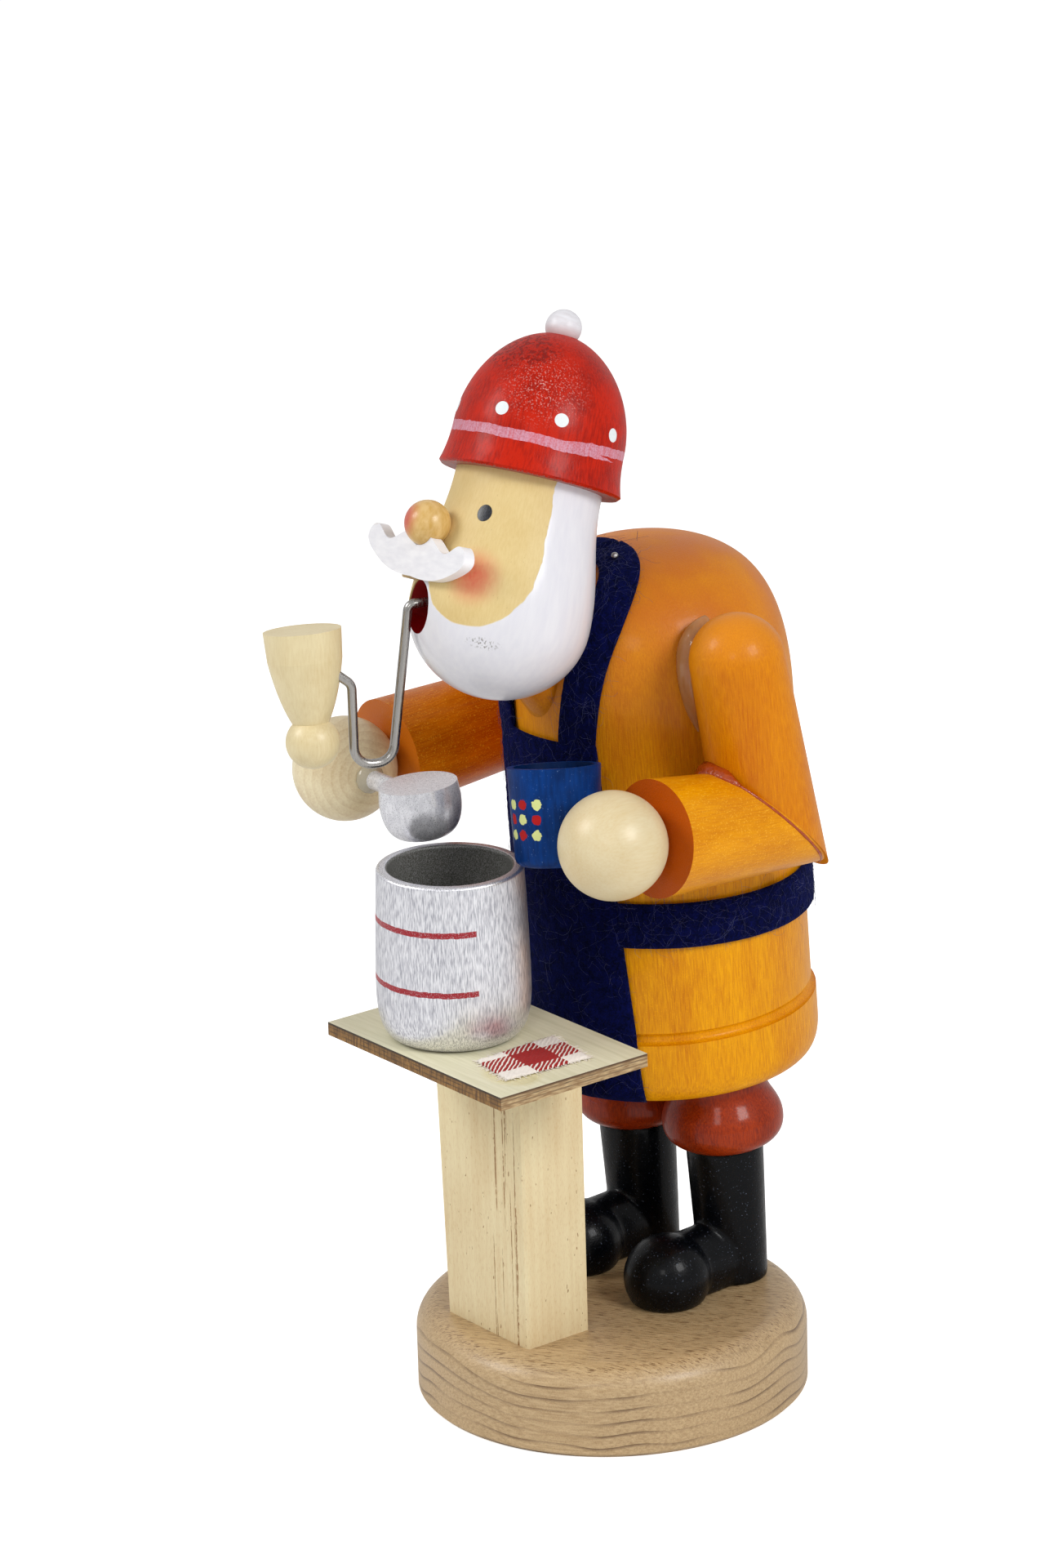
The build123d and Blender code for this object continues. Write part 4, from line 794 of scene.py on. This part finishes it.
class SMOKER_OT_hat(bpy.types.Operator):
    """Red hat with a brushed stripe, white dots and its pompom"""

    bl_idname = "smoker.hat"
    bl_label = "Hat and pompom"

    def execute(self, context):
        tones = context.scene.smoker_colours
        # Thin red enamel: the wood's grain shows in it, and it is rough where the top's end grain tore
        material, tree, point = begin("red_enamel_hat", HEAD)
        height, turn = add(tree, SPLIT, point, out=2), turn_of(tree, point)
        grain = mottle(tree, point, (0.35, 0.35, 4.0), 4.0, 2.0)
        clouds = mottle(tree, point, (7.0, 7.0, 5.0), 3.0, 5.0)
        grit = mottle(tree, point, 0.3, 2.0, 7.0)
        share = summed(tree, (grain, 0.36, 0.62, 0.4, 1.0), (clouds, 0.35, 0.65, -0.3, 0.3))
        # Higher up the film is thin; pale pink specks in a patch on the upper front are a painted highlight
        worn = add(tree, RANGE, height, 13.0, 21.0, 0.0, 0.15)
        highlight_patch = blob(tree, point, (9.0, -8.0, 15.0), (9.0, 9.0, 8.0))
        pale_specks = add(tree, "MULTIPLY", add(tree, RANGE, grit, 0.56, 0.66), highlight_patch)
        crown = add(tree, RANGE, blob(tree, point, (1.5, -9.0, 21.5), (9.0, 8.0, 5.0)), 0.0, 0.35)
        torn = add(tree, RANGE, mottle(tree, point, 0.8, 3.0, 9.0), 0.52, 0.6)
        pit = add(tree, "MULTIPLY", torn, crown)
        # The stripe is drawn once round with a 2 mm brush, and its end lies under its start
        shaky = add(tree, RANGE, mottle(tree, point, (1.6, 1.6, 8.0), 2.0, 3.0), 0.0, 1.0, -0.35, 0.35)
        level = add(tree, "ADD", height, shaky)
        strokes = [
            add(tree, "COMPARE", level, add(tree, RANGE, turn, *middle), add(tree, RANGE, turn, *half))
            for middle, half in (
                ((-0.7, 1.8, 6.7, 5.75), (1.3, 2.0, 0.9, 0.0)), ((1.1, 2.5, 6.4, 7.7), (0.95, 1.5, 0.0, 0.8))
            )
        ]
        thin = add(tree, RANGE, add(tree, "ADD", grit, grain), 0.8, 1.2, 0.85, 0.4)
        stripe = add(tree, "MULTIPLY", add(tree, "MAXIMUM", *strokes), thin)
        dot = None
        for degrees in (-31.0, 23.5, 65.0, 108.5, 152.0, 196.0, 240.0, 285.0):
            way = math.radians(degrees)
            spot = (15.0 * math.sin(way), -15.0 * math.cos(way), 10.2)
            near = blob(tree, point, spot, (1.3, 1.3, 1.25))
            dot = near if dot is None else add(tree, "MAXIMUM", dot, near)
        dot = add(tree, RANGE, dot, 0.02, 0.06)
        below = add(tree, RANGE, add(tree, "ADD", height, grit), 0.5, 0.62, 1.0, 0.0)
        tone = "8A0C00"
        for cover, paint in (
            (share, tones.red), (worn, "9C241C"), (pale_specks, "E0A098"), (pit, "8A1006"), (stripe, tones.stripe),
            (dot, "E6ECEE"), (below, "8E5850"),
        ):
            tone = add(tree, MIX, cover, links={6: tone, 7: paint}, **COLOURS)
        rough = add(tree, RANGE, clouds, 0.35, 0.65, 0.36, 0.5)
        relief = add(tree, "ADD", add(tree, "MULTIPLY_ADD", pit, -3.0, grain), grit)
        surface(tree, tone, rough, relief, 0.06, Specular_IOR_Level=0.12, Coat_Weight=0.1, Coat_Roughness=0.2)
        dress(material, "hat")

        # White enamel on a small ball, with red from the hat brushed on at its foot
        material, tree, point = begin("white_enamel_pompom", HEAD)
        brushed = mottle(tree, point, (2.0, 2.0, 0.6), 3.0, 2.0)
        height = add(tree, "ADD", add(tree, SPLIT, point, out=2), brushed)
        foot = add(tree, RANGE, height, 26.4, 28.2, 0.6, 0.0)
        shade = add(tree, RANGE, brushed, 0.3, 0.7, 0.0, 0.6)
        tone = tones.white
        for cover, paint in ((shade, "CFC9CC"), (foot, "C6A29E")):
            tone = add(tree, MIX, cover, links={6: tone, 7: paint}, **COLOURS)
        surface(tree, tone, 0.4, brushed, 0.05)
        dress(material, "pompom")
        return {"FINISHED"}


class SMOKER_OT_face(bpy.types.Operator):
    """Nose with rouge, and the white moustache"""

    bl_idname = "smoker.face"
    bl_label = "Nose and moustache"

    def execute(self, context):
        # Varnished lime ball, rouged on its right front
        material, tree, point = begin("varnished_nose", HEAD)
        grain = mottle(tree, point, (0.9, 0.9, 1.8), 3.0, 2.0)
        rouge = blob(tree, point, (-4.6, -22.0, -11.4), (5.0, 5.0, 5.0))
        rouge = add(tree, RANGE, rouge, 0.05, 0.7, 0.0, 0.9, interpolation_type="SMOOTHSTEP")
        tone = "DCB878"
        for cover, paint in ((add(tree, RANGE, grain, 0.35, 0.7), "CBA052"), (rouge, "CE5A4E")):
            tone = add(tree, MIX, cover, links={6: tone, 7: paint}, **COLOURS)
        surface(tree, tone, 0.36, grain, 0.03, Coat_Weight=0.2, Coat_Roughness=0.15, Specular_IOR_Level=0.35)
        dress(material, "nose")

        # Thick white enamel that has run smooth over the sawn edges
        material, tree, point = begin("white_enamel", HEAD)
        brushed = mottle(tree, point, (2.5, 2.5, 1.0), 2.0, 2.0)
        # A small patch on one wing of the moustache turns warm grey
        grey_patch = add(tree, RANGE, blob(tree, point, (-15.6, -19.3, -12.6), (1.6, 1.0, 0.7)), 0.0, 0.5, 0.0, 0.5)
        tone = "ECEBF0"
        for cover, paint in ((add(tree, RANGE, brushed, 0.3, 0.7), "F8F7FA"), (grey_patch, "D8CFC4")):
            tone = add(tree, MIX, cover, links={6: tone, 7: paint}, **COLOURS)
        surface(tree, tone, 0.28, brushed, 0.02, Coat_Weight=0.2, Coat_Roughness=0.12, Specular_IOR_Level=0.4)
        dress(material, "moustache")
        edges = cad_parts["moustache"].modifiers.new("run_enamel", "BEVEL")
        edges.width = 0.45 * MM
        edges.segments = 3
        edges.limit_method = "ANGLE"
        return {"FINISHED"}


class SMOKER_OT_pipe(bpy.types.Operator):
    """Bright wire of the pipe"""

    bl_idname = "smoker.pipe"
    bl_label = "Pipe wire"

    def execute(self, context):
        # Drawn stainless wire: faint die lines along it
        material, tree, point = begin("steel_wire_drawn", ROOM)
        lines = mottle(tree, point, (0.25, 0.25, 6.0), 3.0, 2.0)
        rough = add(tree, RANGE, lines, 0.3, 0.7, 0.2, 0.34)
        tone = add(tree, MIX, lines, links={6: "8E8B88", 7: "B9B6B2"}, **COLOURS)
        surface(tree, tone, rough, lines, 0.01, Metallic=1.0)
        dress(material, "pipe_stem")
        return {"FINISHED"}


class SMOKER_OT_mug(bpy.types.Operator):
    """Blue mug with its yellow and red dots"""

    bl_idname = "smoker.mug"
    bl_label = "Mug"

    def execute(self, context):
        tones = context.scene.smoker_colours
        # Royal blue enamel on turned wood; the dots are touched on with a small brush, about 2 mm across
        material, tree, point = begin("blue_enamel_mug", MUG)
        strokes = mottle(tree, point, (0.6, 0.6, 5.0), 3.0, 2.0)
        clouds = mottle(tree, point, 4.0, 2.0, 6.0)
        ragged = add(tree, RANGE, mottle(tree, point, 0.7, 2.0, 4.0), 0.0, 1.0, -0.3, 0.3)
        pale_specks = add(tree, RANGE, mottle(tree, point, (0.28, 0.28, 0.4), 2.0, 8.0), 0.68, 0.76, 0.0, 0.6)
        share = summed(tree, (strokes, 0.35, 0.7, 0.0, 0.5), (clouds, 0.35, 0.7, -0.1, 0.5))
        coats = [(share, tones.blue), (pale_specks, "6C8CC0")]
        for row, height in enumerate((11.2, 8.6, 5.9)):
            for column, degrees in enumerate((29.0, 6.5, -13.0)):
                way = math.radians(degrees - 1.2 * row)
                spot = (7.9 * math.sin(way), -7.9 * math.cos(way), height)
                near = blob(tree, point, spot, (1.5, 1.5, 1.4))
                dot = add(tree, RANGE, add(tree, "ADD", near, ragged), 0.33, 0.38)
                dot = add(tree, "MULTIPLY", dot, add(tree, RANGE, near, 0.0, 0.05))
                coats.append((dot, "B01C1E" if (row + column) % 2 else "D8DE92"))
        # Inside the mug the blue is darkened: painted shade in the hollow
        shaded_inside = add(tree, RANGE, reach_of(tree, point), 7.0, 7.15, 0.75, 0.0)
        shaded_inside = add(tree, "MULTIPLY", shaded_inside, add(tree, RANGE, add(tree, SPLIT, point, out=2), 5.0, 6.0))
        tone = "03285E"
        for cover, paint in (*coats, (shaded_inside, "021636")):
            tone = add(tree, MIX, cover, links={6: tone, 7: paint}, **COLOURS)
        surface(tree, tone, 0.4, strokes, 0.06, Coat_Weight=0.06, Coat_Roughness=0.2, Specular_IOR_Level=0.08)
        dress(material, "mug")
        return {"FINISHED"}


class SMOKER_OT_ladle(bpy.types.Operator):
    """Silver paint for the ladle and its rod"""

    bl_idname = "smoker.ladle"
    bl_label = "Ladle"

    def execute(self, context):
        tones = context.scene.smoker_colours
        # Aluminium paint, thicker and smoother than on the pot
        material, tree, point = begin("aluminium_paint_ladle", LADLE)
        flakes = mottle(tree, point, 0.2, 3.0, 3.0)
        clouds = mottle(tree, point, (0.7, 0.7, 2.0), 2.0, 5.0)
        share = add(tree, RANGE, add(tree, "ADD", clouds, flakes), 0.7, 1.3)
        rough = add(tree, RANGE, flakes, 0.3, 0.7, 0.26, 0.34)
        tone = add(tree, MIX, share, links={6: "C4C4CA", 7: tones.silver}, **COLOURS)
        surface(tree, tone, rough, clouds, 0.05, Metallic=0.55)
        dress(material, "ladle_cup", "ladle_handle")
        return {"FINISHED"}


class SMOKER_OT_fittings(bpy.types.Operator):
    """Dowels, hip plate, tin tray, nail and pins"""

    bl_idname = "smoker.fittings"
    bl_label = "Hidden fittings"

    def execute(self, context):
        # Raw beech dowel and lime disc, sawn and not varnished
        material = raw_wood("raw_dowel", ROOM, "D8BE90", "B8966A", (0.5, 0.5, 6.0), gloss=0.7)
        names = ["post_dowel", "neck_dowel", "moustache_peg", "hip_plate"]
        names += [f"{end}_dowel_{side}" for end in ("leg", "shoulder", "elbow", "wrist") for side, _ in SIDES]
        dress(material, *names)
        # Bright tinplate, browned a little in the middle by the cones
        material, tree, point = begin("tinplate_pressed", HIPS)
        smears = mottle(tree, point, 2.0, 3.0, 2.0)
        stain = add(tree, "MULTIPLY", blob(tree, point, (0.0, 0.0, 10.0), (9.0, 9.0, 6.0)), smears)
        rough = add(tree, RANGE, smears, 0.3, 0.7, 0.25, 0.45)
        tone = add(tree, MIX, stain, links={6: "C8C6C0", 7: "6E5A44"}, **COLOURS)
        surface(tree, tone, rough, smears, 0.02, Metallic=1.0)
        dress(material, "incense_tray")
        # Bright steel of nail and pins
        material, tree, point = begin("steel_pin", ROOM)
        scuffs = mottle(tree, point, 0.3, 2.0, 2.0)
        tone = add(tree, MIX, scuffs, links={6: "8E8C8A", 7: "B8B6B4"}, **COLOURS)
        surface(tree, tone, 0.3, scuffs, 0.01, Metallic=1.0)
        dress(material, "tray_nail", "strap_pins")
        return {"FINISHED"}


def felt_slab(name, place, across, along, sizes, material):
    """A strip of felt over the body: place gives a point and a normal in mm for shares across and along."""
    steps = [0.0, 0.012, 0.05]
    across_shares = steps + [0.05 + 0.9 * i / across for i in range(1, across)] + [0.95, 0.988, 1.0]
    along_shares = [s * 0.4 for s in steps] + [0.02 + 0.96 * i / along for i in range(1, along)]
    along_shares += [0.98, 0.9952, 1.0]
    gap, thickness, fuzz = sizes.felt_gap / MM, sizes.felt / MM, 0.22
    points = []
    for layer in (1, -1):
        for v in along_shares:
            for u in across_shares:
                spot, out = place(u, v)
                # The powers round the edges off: the higher one makes the tighter edge
                full = (1 - abs(2 * u - 1) ** 14) ** 0.5 * (1 - abs(2 * v - 1) ** 40) ** 0.5
                lift = gap + thickness * 0.5 * (1 + layer * full)
                if layer > 0:
                    lift += fuzz * (noise.noise(spot * 1.4) * 0.6 + noise.noise(spot * 4.0) * 0.4) * full
                points.append(HIPS @ ((spot + out * lift) * MM))
    made = piece(name, points, sheet_faces(len(across_shares), len(along_shares)), material)
    weld(made, 0.0005 * MM, outward=True)
    return made


def felt_hairs(name, place, count, sizes, material, seed):
    """Stray fibres that lie on a strip of felt, and short ones that stand out of its edges."""
    chance = random.Random(seed)
    lift = (sizes.felt_gap + sizes.felt) / MM
    paths = []
    for k in range(count):
        u, v = chance.random(), chance.random()
        edge = k % 3 == 0
        if edge:
            u = chance.choice((0.0, 1.0))
        spot, out = place(u, v)
        side = out.cross(Vector((0, 0, 1))).normalized()
        up = side.cross(out).normalized()
        turn = chance.uniform(0, 2 * math.pi)
        step = chance.uniform(0.2, 0.4) if edge else chance.uniform(0.35, 0.95)
        height = lift * (chance.uniform(0.2, 0.9) if edge else 1.0)
        path = []
        for n in range(4 if edge else chance.randint(5, 8)):
            rise = height + (0.12 * n if edge else 0.05 + 0.3 * math.sin(n * 0.9) ** 2 * chance.random())
            near, normal = on_body(*spot)
            path.append(HIPS @ ((near + normal * rise) * MM))
            turn += chance.uniform(-0.7, 0.7)
            spot = spot + (side * math.cos(turn) + up * math.sin(turn)) * step
        paths.append(path)
    return threads(name, paths, sizes.fibre / MM, material)


def apron_place(u, v):
    """The apron: 26 mm wide at the bib, 29.4 mm at the waist and 33 mm at the hem."""
    z = BIB_TOP - 67.1 * v
    above = z > WAIST
    half = 13.0 + 1.7 * (BIB_TOP - z) / 34.6 if above else 14.7 + 1.8 * (WAIST - z) / 32.5
    x = half * (2 * u - 1)
    return on_body(x, -math.sqrt(BODY_RADIUS**2 - x * x), z)


def strap_place(side):
    """Half of the neck strap, from the bib over the shoulder to the nape."""
    route = []
    # Up the chest, where the straps spread a little, and round the neck on a circle of 11.7 mm
    for i in range(15):
        z = 67.2 + 18.1 * i / 14
        x = 9.5 + 2.0 * i / 14
        route.append(Vector((x * side, -math.sqrt(radius_at(z) ** 2 - x * x), z)))
    for i in range(2, 31):
        way = math.pi / 2 * i / 30
        x, y = 11.7 * math.cos(way), -19.3 + 11.7 * math.sin(way)
        route.append(Vector((x * side, y, height_at(math.hypot(x, y)))))

    def place(u, v):
        at = v * (len(route) - 1)
        k = min(int(at), len(route) - 2)
        spot = route[k].lerp(route[k + 1], at - k)
        ahead = route[min(k + 3, len(route) - 1)] - route[max(k - 2, 0)]
        wide = ahead.cross(on_body(*spot)[1]).normalized()
        return on_body(*(spot + wide * STRAP_WIDTH * (u - 0.5) * side))

    return place


def belt_place(side):
    """Half of the belt, from the apron's edge round to the back, where it sits a little lower."""

    def place(u, v):
        start = math.asin(14.3 / BODY_RADIUS)
        way = start + (math.pi - start) * v
        x, y = BODY_RADIUS * math.sin(way) * side, -BODY_RADIUS * math.cos(way)
        return on_body(x, y, WAIST + BELT_WIDTH * (u - 0.5) + math.sin(math.radians(-3.0)) * y)

    return place


class SMOKER_OT_felt(bpy.types.Operator):
    """Felt apron, strap and belt, with their stray fibres"""

    bl_idname = "smoker.felt"
    bl_label = "Felt apron, strap and belt"

    def execute(self, context):
        sizes = context.scene.smoker_sizes
        tones = context.scene.smoker_colours
        # Needled felt: no weave, a matted pile of short fibres, dull with a faint sheen
        material, tree, point = begin("navy_felt", HIPS)
        mat = mottle(tree, point, 0.35, 4.0, 2.0)
        tufts = mottle(tree, point, (1.3, 1.3, 1.8), 3.0, 5.0)
        share = summed(tree, (mat, 0.35, 0.7, 0.0, 0.6), (tufts, 0.35, 0.7, -0.1, 0.5))
        tone = add(tree, MIX, share, links={6: "03051E", 7: tones.felt}, **COLOURS)
        surface(tree, tone, 0.95, add(tree, "ADD", mat, tufts), 0.35,
                Specular_IOR_Level=0.05, Sheen_Weight=0.12, Sheen_Roughness=0.5, Sheen_Tint="4050B0")
        # Single wool fibres: most as blue as the felt, a few faded ones that catch the light
        blue, tree, _ = begin("felt_fibre_blue")
        surface(tree, "161C5A", 0.8, Sheen_Weight=0.2)
        pale, tree, _ = begin("felt_fibre_pale")
        surface(tree, "444C80", 0.6, Sheen_Weight=0.2)

        # Strips: piece, side, rows across and along, place, node, and count and seed of the fibres on it
        fibres = (("blue", blue, 700, 1), ("pale", pale, 50, 2))
        strips = [("apron", "", 44, 88, apron_place, "apron", fibres)]
        for seed, (name, side) in enumerate(SIDES):
            for part, across, along, place, node, count in (
                ("strap", 12, 80, strap_place(side), "neck_strap", 260),
                ("belt", 14, 90, belt_place(side), "waist_belt", 420),
            ):
                fibres = (("blue", blue, count, 10 + seed), ("pale", pale, count // 8, 20 + seed))
                strips.append((part, f"_{name}", across, along, place, node, fibres))
        slabs = []
        for part, end, across, along, place, node, _ in strips:
            slabs.append(felt_slab(f"felt_{part}{end}", place, across, along, sizes, material))
            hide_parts(node)
        hairs = [
            felt_hairs(f"{part}_fibres_{shade}{end}", place, count, sizes, wool, seed)
            for part, end, _, _, place, _, fibres in strips
            for shade, wool, count, seed in fibres
        ]
        for item in slabs + hairs:
            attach(item, "figure")
        return {"FINISHED"}


def bead(name, path, material):
    """A run of glue on the figure, along points in metres, each with its own radius in mm."""
    made = threads(name, [[point for point, _ in path]], 1.0, material)
    made.data.bevel_resolution = 4
    made.data.resolution_u = 6
    made.data.use_fill_caps = True
    for spot, (_, radius) in zip(made.data.splines[0].points, path):
        spot.radius = radius
    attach(made, "figure")


def hot_glue(name, place, dark, light, size, seed, rough, depth, clear):
    """Hot glue, more or less clear, with clouds of the stain that it has taken up."""
    material, tree, point = begin(name, place)
    clouds = mottle(tree, point, size, 2.0, seed)
    tone = add(tree, MIX, clouds, links={6: dark, 7: light}, **COLOURS)
    surface(tree, tone, rough, clouds, depth, Transmission_Weight=clear)
    return material


def skin_point(names, middle, way):
    """Where a way out from a middle leaves the skin of some pieces, in metres."""
    far = 0.0
    for name in names:
        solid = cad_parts[name]
        back = solid.matrix_world.inverted()
        start = back @ (middle + way * 40 * MM)
        hit, spot, _, _ = solid.ray_cast(start, (back.to_3x3() @ -way).normalized())
        if hit:
            far = max(far, (solid.matrix_world @ spot - middle).length)
    if far == 0.0:
        raise RuntimeError(f"no skin of {names} found")
    return middle + way * far


class SMOKER_OT_glue(bpy.types.Operator):
    """Glue squeezed out of the joints of the left arm and of the ladle"""

    bl_idname = "smoker.glue"
    bl_label = "Squeezed-out glue"

    def execute(self, context):
        # Clear over stained wood, browned at the elbow by the stain, milky at the ladle
        clear = hot_glue("hot_glue_clear", HIPS, "CC8440", "ECB878", (1.5, 1.5, 3.0), 3.0, 0.1, 0.1, 0.45)
        brown = hot_glue("hot_glue_stained", HIPS, "8E2600", "CC5A14", 0.8, 5.0, 0.18, 0.2, 0.15)
        pale, tree, point = begin("hot_glue_pale", ROOM)
        clouds = mottle(tree, point, 0.8, 2.0, 5.0)
        surface(tree, "DCD2B8", 0.16, clouds, 0.15, Transmission_Weight=0.5)
        # In the crease between the left upper arm and the body
        path = []
        for z, heading, lift, radius in (
            (69.5, -19.5, 0.4, 0.3), (71.5, -20.5, 0.5, 1.2), (74.0, -21.0, 0.6, 1.9),
            (77.5, -21.5, 0.9, 2.3), (81.0, -20.5, 1.5, 2.5), (83.5, -18.0, 2.1, 2.3),
            (85.5, -14.0, 2.5, 1.5), (86.5, -11.0, 2.8, 0.6),
        ):
            way = math.radians(heading)
            spot, out = on_body(20 * math.cos(way), 20 * math.sin(way), z)
            path.append((HIPS @ ((spot + out * lift) * MM), radius))
        bead("glue_shoulder_left", path, clear)
        # In the crook of the left elbow, and in a thin line along its mitre down to the tip
        turned = HIPS.to_3x3()
        inward, aside = turned @ Vector((0, -0.685, 0.73)).normalized(), turned @ Vector((1, 0, 0))
        for name, degrees, radii in (
            ("glue_elbow_left", range(-40, 21, 10), (0.4, 1.6, 2.5, 2.8, 2.5, 1.4, 0.4)),
            ("glue_mitre_left", range(20, 171, 10),
             (0.3, 0.4, 0.25, 0.3, 0.22, 0.3, 0.2, 0.25, 0.3, 0.2, 0.25, 0.2, 0.3, 0.2, 0.2, 0.2)),
        ):
            path = []
            for step, radius in zip(degrees, radii):
                way = math.radians(step)
                way = inward * math.cos(way) + aside * math.sin(way)
                path.append((skin_point(("upper_arm_left", "forearm_left"), LEFT_ELBOW * MM, way), radius))
            bead(name, path, brown)
        # Where the ladle's rod enters the hand
        way = (Vector((-25.55, -28.03, 114.12)) - RIGHT_HAND).normalized()
        sizes = ((8.2, 2.4), (9.3, 2.9), (10.3, 2.5), (11.4, 1.5))
        bead("glue_ladle", [((RIGHT_HAND + way * far) * MM, radius) for far, radius in sizes], pale)
        return {"FINISHED"}


class SMOKER_OT_stage(bpy.types.Operator):
    """Pale floor, soft studio lamps, white surroundings and the camera"""

    bl_idname = "smoker.stage"
    bl_label = "Stage"

    def execute(self, context):
        scene = context.scene
        scene.view_settings.view_transform = "Standard"
        # White paper, lit up to pure white for the camera only
        material, tree, _ = begin("studio_paper")
        lift = add(tree, "MULTIPLY", add(tree, "ShaderNodeLightPath"), 0.6)
        paper = add(tree, "ShaderNodeBsdfDiffuse", "F4F4F4")
        glow = add(tree, "ShaderNodeEmission", "FFFFFF", lift)
        add(tree, "ShaderNodeOutputMaterial", add(tree, "ShaderNodeAddShader", paper, glow))
        reach = 3.0
        corners = [(-reach, -reach, 0), (reach, -reach, 0), (reach, reach, 0), (-reach, reach, 0)]
        piece("studio_floor", corners, [(0, 1, 2, 3)], material)

        # White surroundings: pure white to the camera, half of that in glossy coats, weaker still as a light
        world = bpy.data.worlds.new("studio_surroundings")
        scene.world = world
        world.use_nodes = True
        tree = world.node_tree
        tree.nodes.clear()
        rays = add(tree, "ShaderNodeLightPath").node.outputs
        direct = add(tree, "MAXIMUM", rays["Is Camera Ray"], rays["Is Transmission Ray"])
        direct = add(tree, "MAXIMUM", direct, add(tree, "MULTIPLY", rays["Is Glossy Ray"], 0.45))
        strength = add(tree, RANGE, direct, 0.0, 1.0, 0.4, 1.0)
        add(tree, "ShaderNodeOutputWorld", add(tree, "ShaderNodeBackground", "FFFFFF", strength))

        target = Vector((0, -5, 100)) * MM
        for name, x, y, z, size, power in (
            ("key_lamp", 0.85, 0.1, 0.7, 0.35, 5.4),
            ("fill_lamp", -0.5, -0.85, 0.9, 0.45, 6.6),
            ("front_lamp", 0.62, -0.75, 0.62, 0.22, 0.9),
        ):
            lamp = bpy.data.lights.new(name, "AREA")
            lamp.size = size
            lamp.energy = power
            holder = bpy.data.objects.new(name, lamp)
            holder.location = (x, y, z)
            holder.rotation_euler = (holder.location - target).to_track_quat("Z", "Y").to_euler()
            scene.collection.objects.link(holder)

        # The camera of the photograph, worked out from the base, the board and the post
        lens = bpy.data.cameras.new("studio_camera")
        lens.sensor_fit = "VERTICAL"
        lens.sensor_height = 36.0
        lens.lens = 130.95
        lens.clip_end = 20.0
        camera = bpy.data.objects.new("studio_camera", lens)
        right = Vector((0.61241, 0.79004, -0.0282))
        up = Vector((-0.22703, 0.20993, 0.95099))
        back = Vector((0.75724, -0.576, 0.30793))
        camera.matrix_world = Matrix((right, up, back)).transposed().to_4x4()
        camera.location = Vector((755.66, -591.6, 425.1)) * MM
        scene.collection.objects.link(camera)
        scene.camera = camera
        return {"FINISHED"}


STEPS = (
    "stage", "base", "table", "pot", "cloth", "boots", "trousers", "body", "hands", "head", "hat", "face",
    "pipe", "mug", "ladle", "felt", "glue", "fittings",
)


class SMOKER_PT_panel(bpy.types.Panel):
    """The steps that dress the smoker, and the sizes and colours they use"""

    bl_idname = "SMOKER_PT_panel"
    bl_label = "Incense smoker"
    bl_space_type = "VIEW_3D"
    bl_region_type = "UI"
    bl_category = "Smoker"

    def draw(self, context):
        layout = self.layout
        for group in (context.scene.smoker_sizes, context.scene.smoker_colours):
            for name in group.__annotations__:
                layout.prop(group, name)
        for step in STEPS:
            layout.operator(f"smoker.{step}")


CLASSES = (
    SmokerSizes, SmokerColours, SMOKER_OT_stage, SMOKER_OT_base, SMOKER_OT_table, SMOKER_OT_pot,
    SMOKER_OT_cloth, SMOKER_OT_boots, SMOKER_OT_trousers, SMOKER_OT_body, SMOKER_OT_hands, SMOKER_OT_head,
    SMOKER_OT_hat, SMOKER_OT_face, SMOKER_OT_pipe, SMOKER_OT_mug, SMOKER_OT_ladle, SMOKER_OT_felt,
    SMOKER_OT_glue, SMOKER_OT_fittings, SMOKER_PT_panel,
)


def register():
    """Makes the steps, the sizes and the colours known to Blender."""
    for item in CLASSES:
        bpy.utils.register_class(item)
    bpy.types.Scene.smoker_sizes = bpy.props.PointerProperty(type=SmokerSizes)
    bpy.types.Scene.smoker_colours = bpy.props.PointerProperty(type=SmokerColours)


def unregister():
    """Takes them away again."""
    del bpy.types.Scene.smoker_colours
    del bpy.types.Scene.smoker_sizes
    for item in reversed(CLASSES):
        bpy.utils.unregister_class(item)


def main():
    """Dresses the smoker step by step."""
    register()
    for step in STEPS:
        getattr(bpy.ops.smoker, step)()


if __name__ == "__main__":
    main()
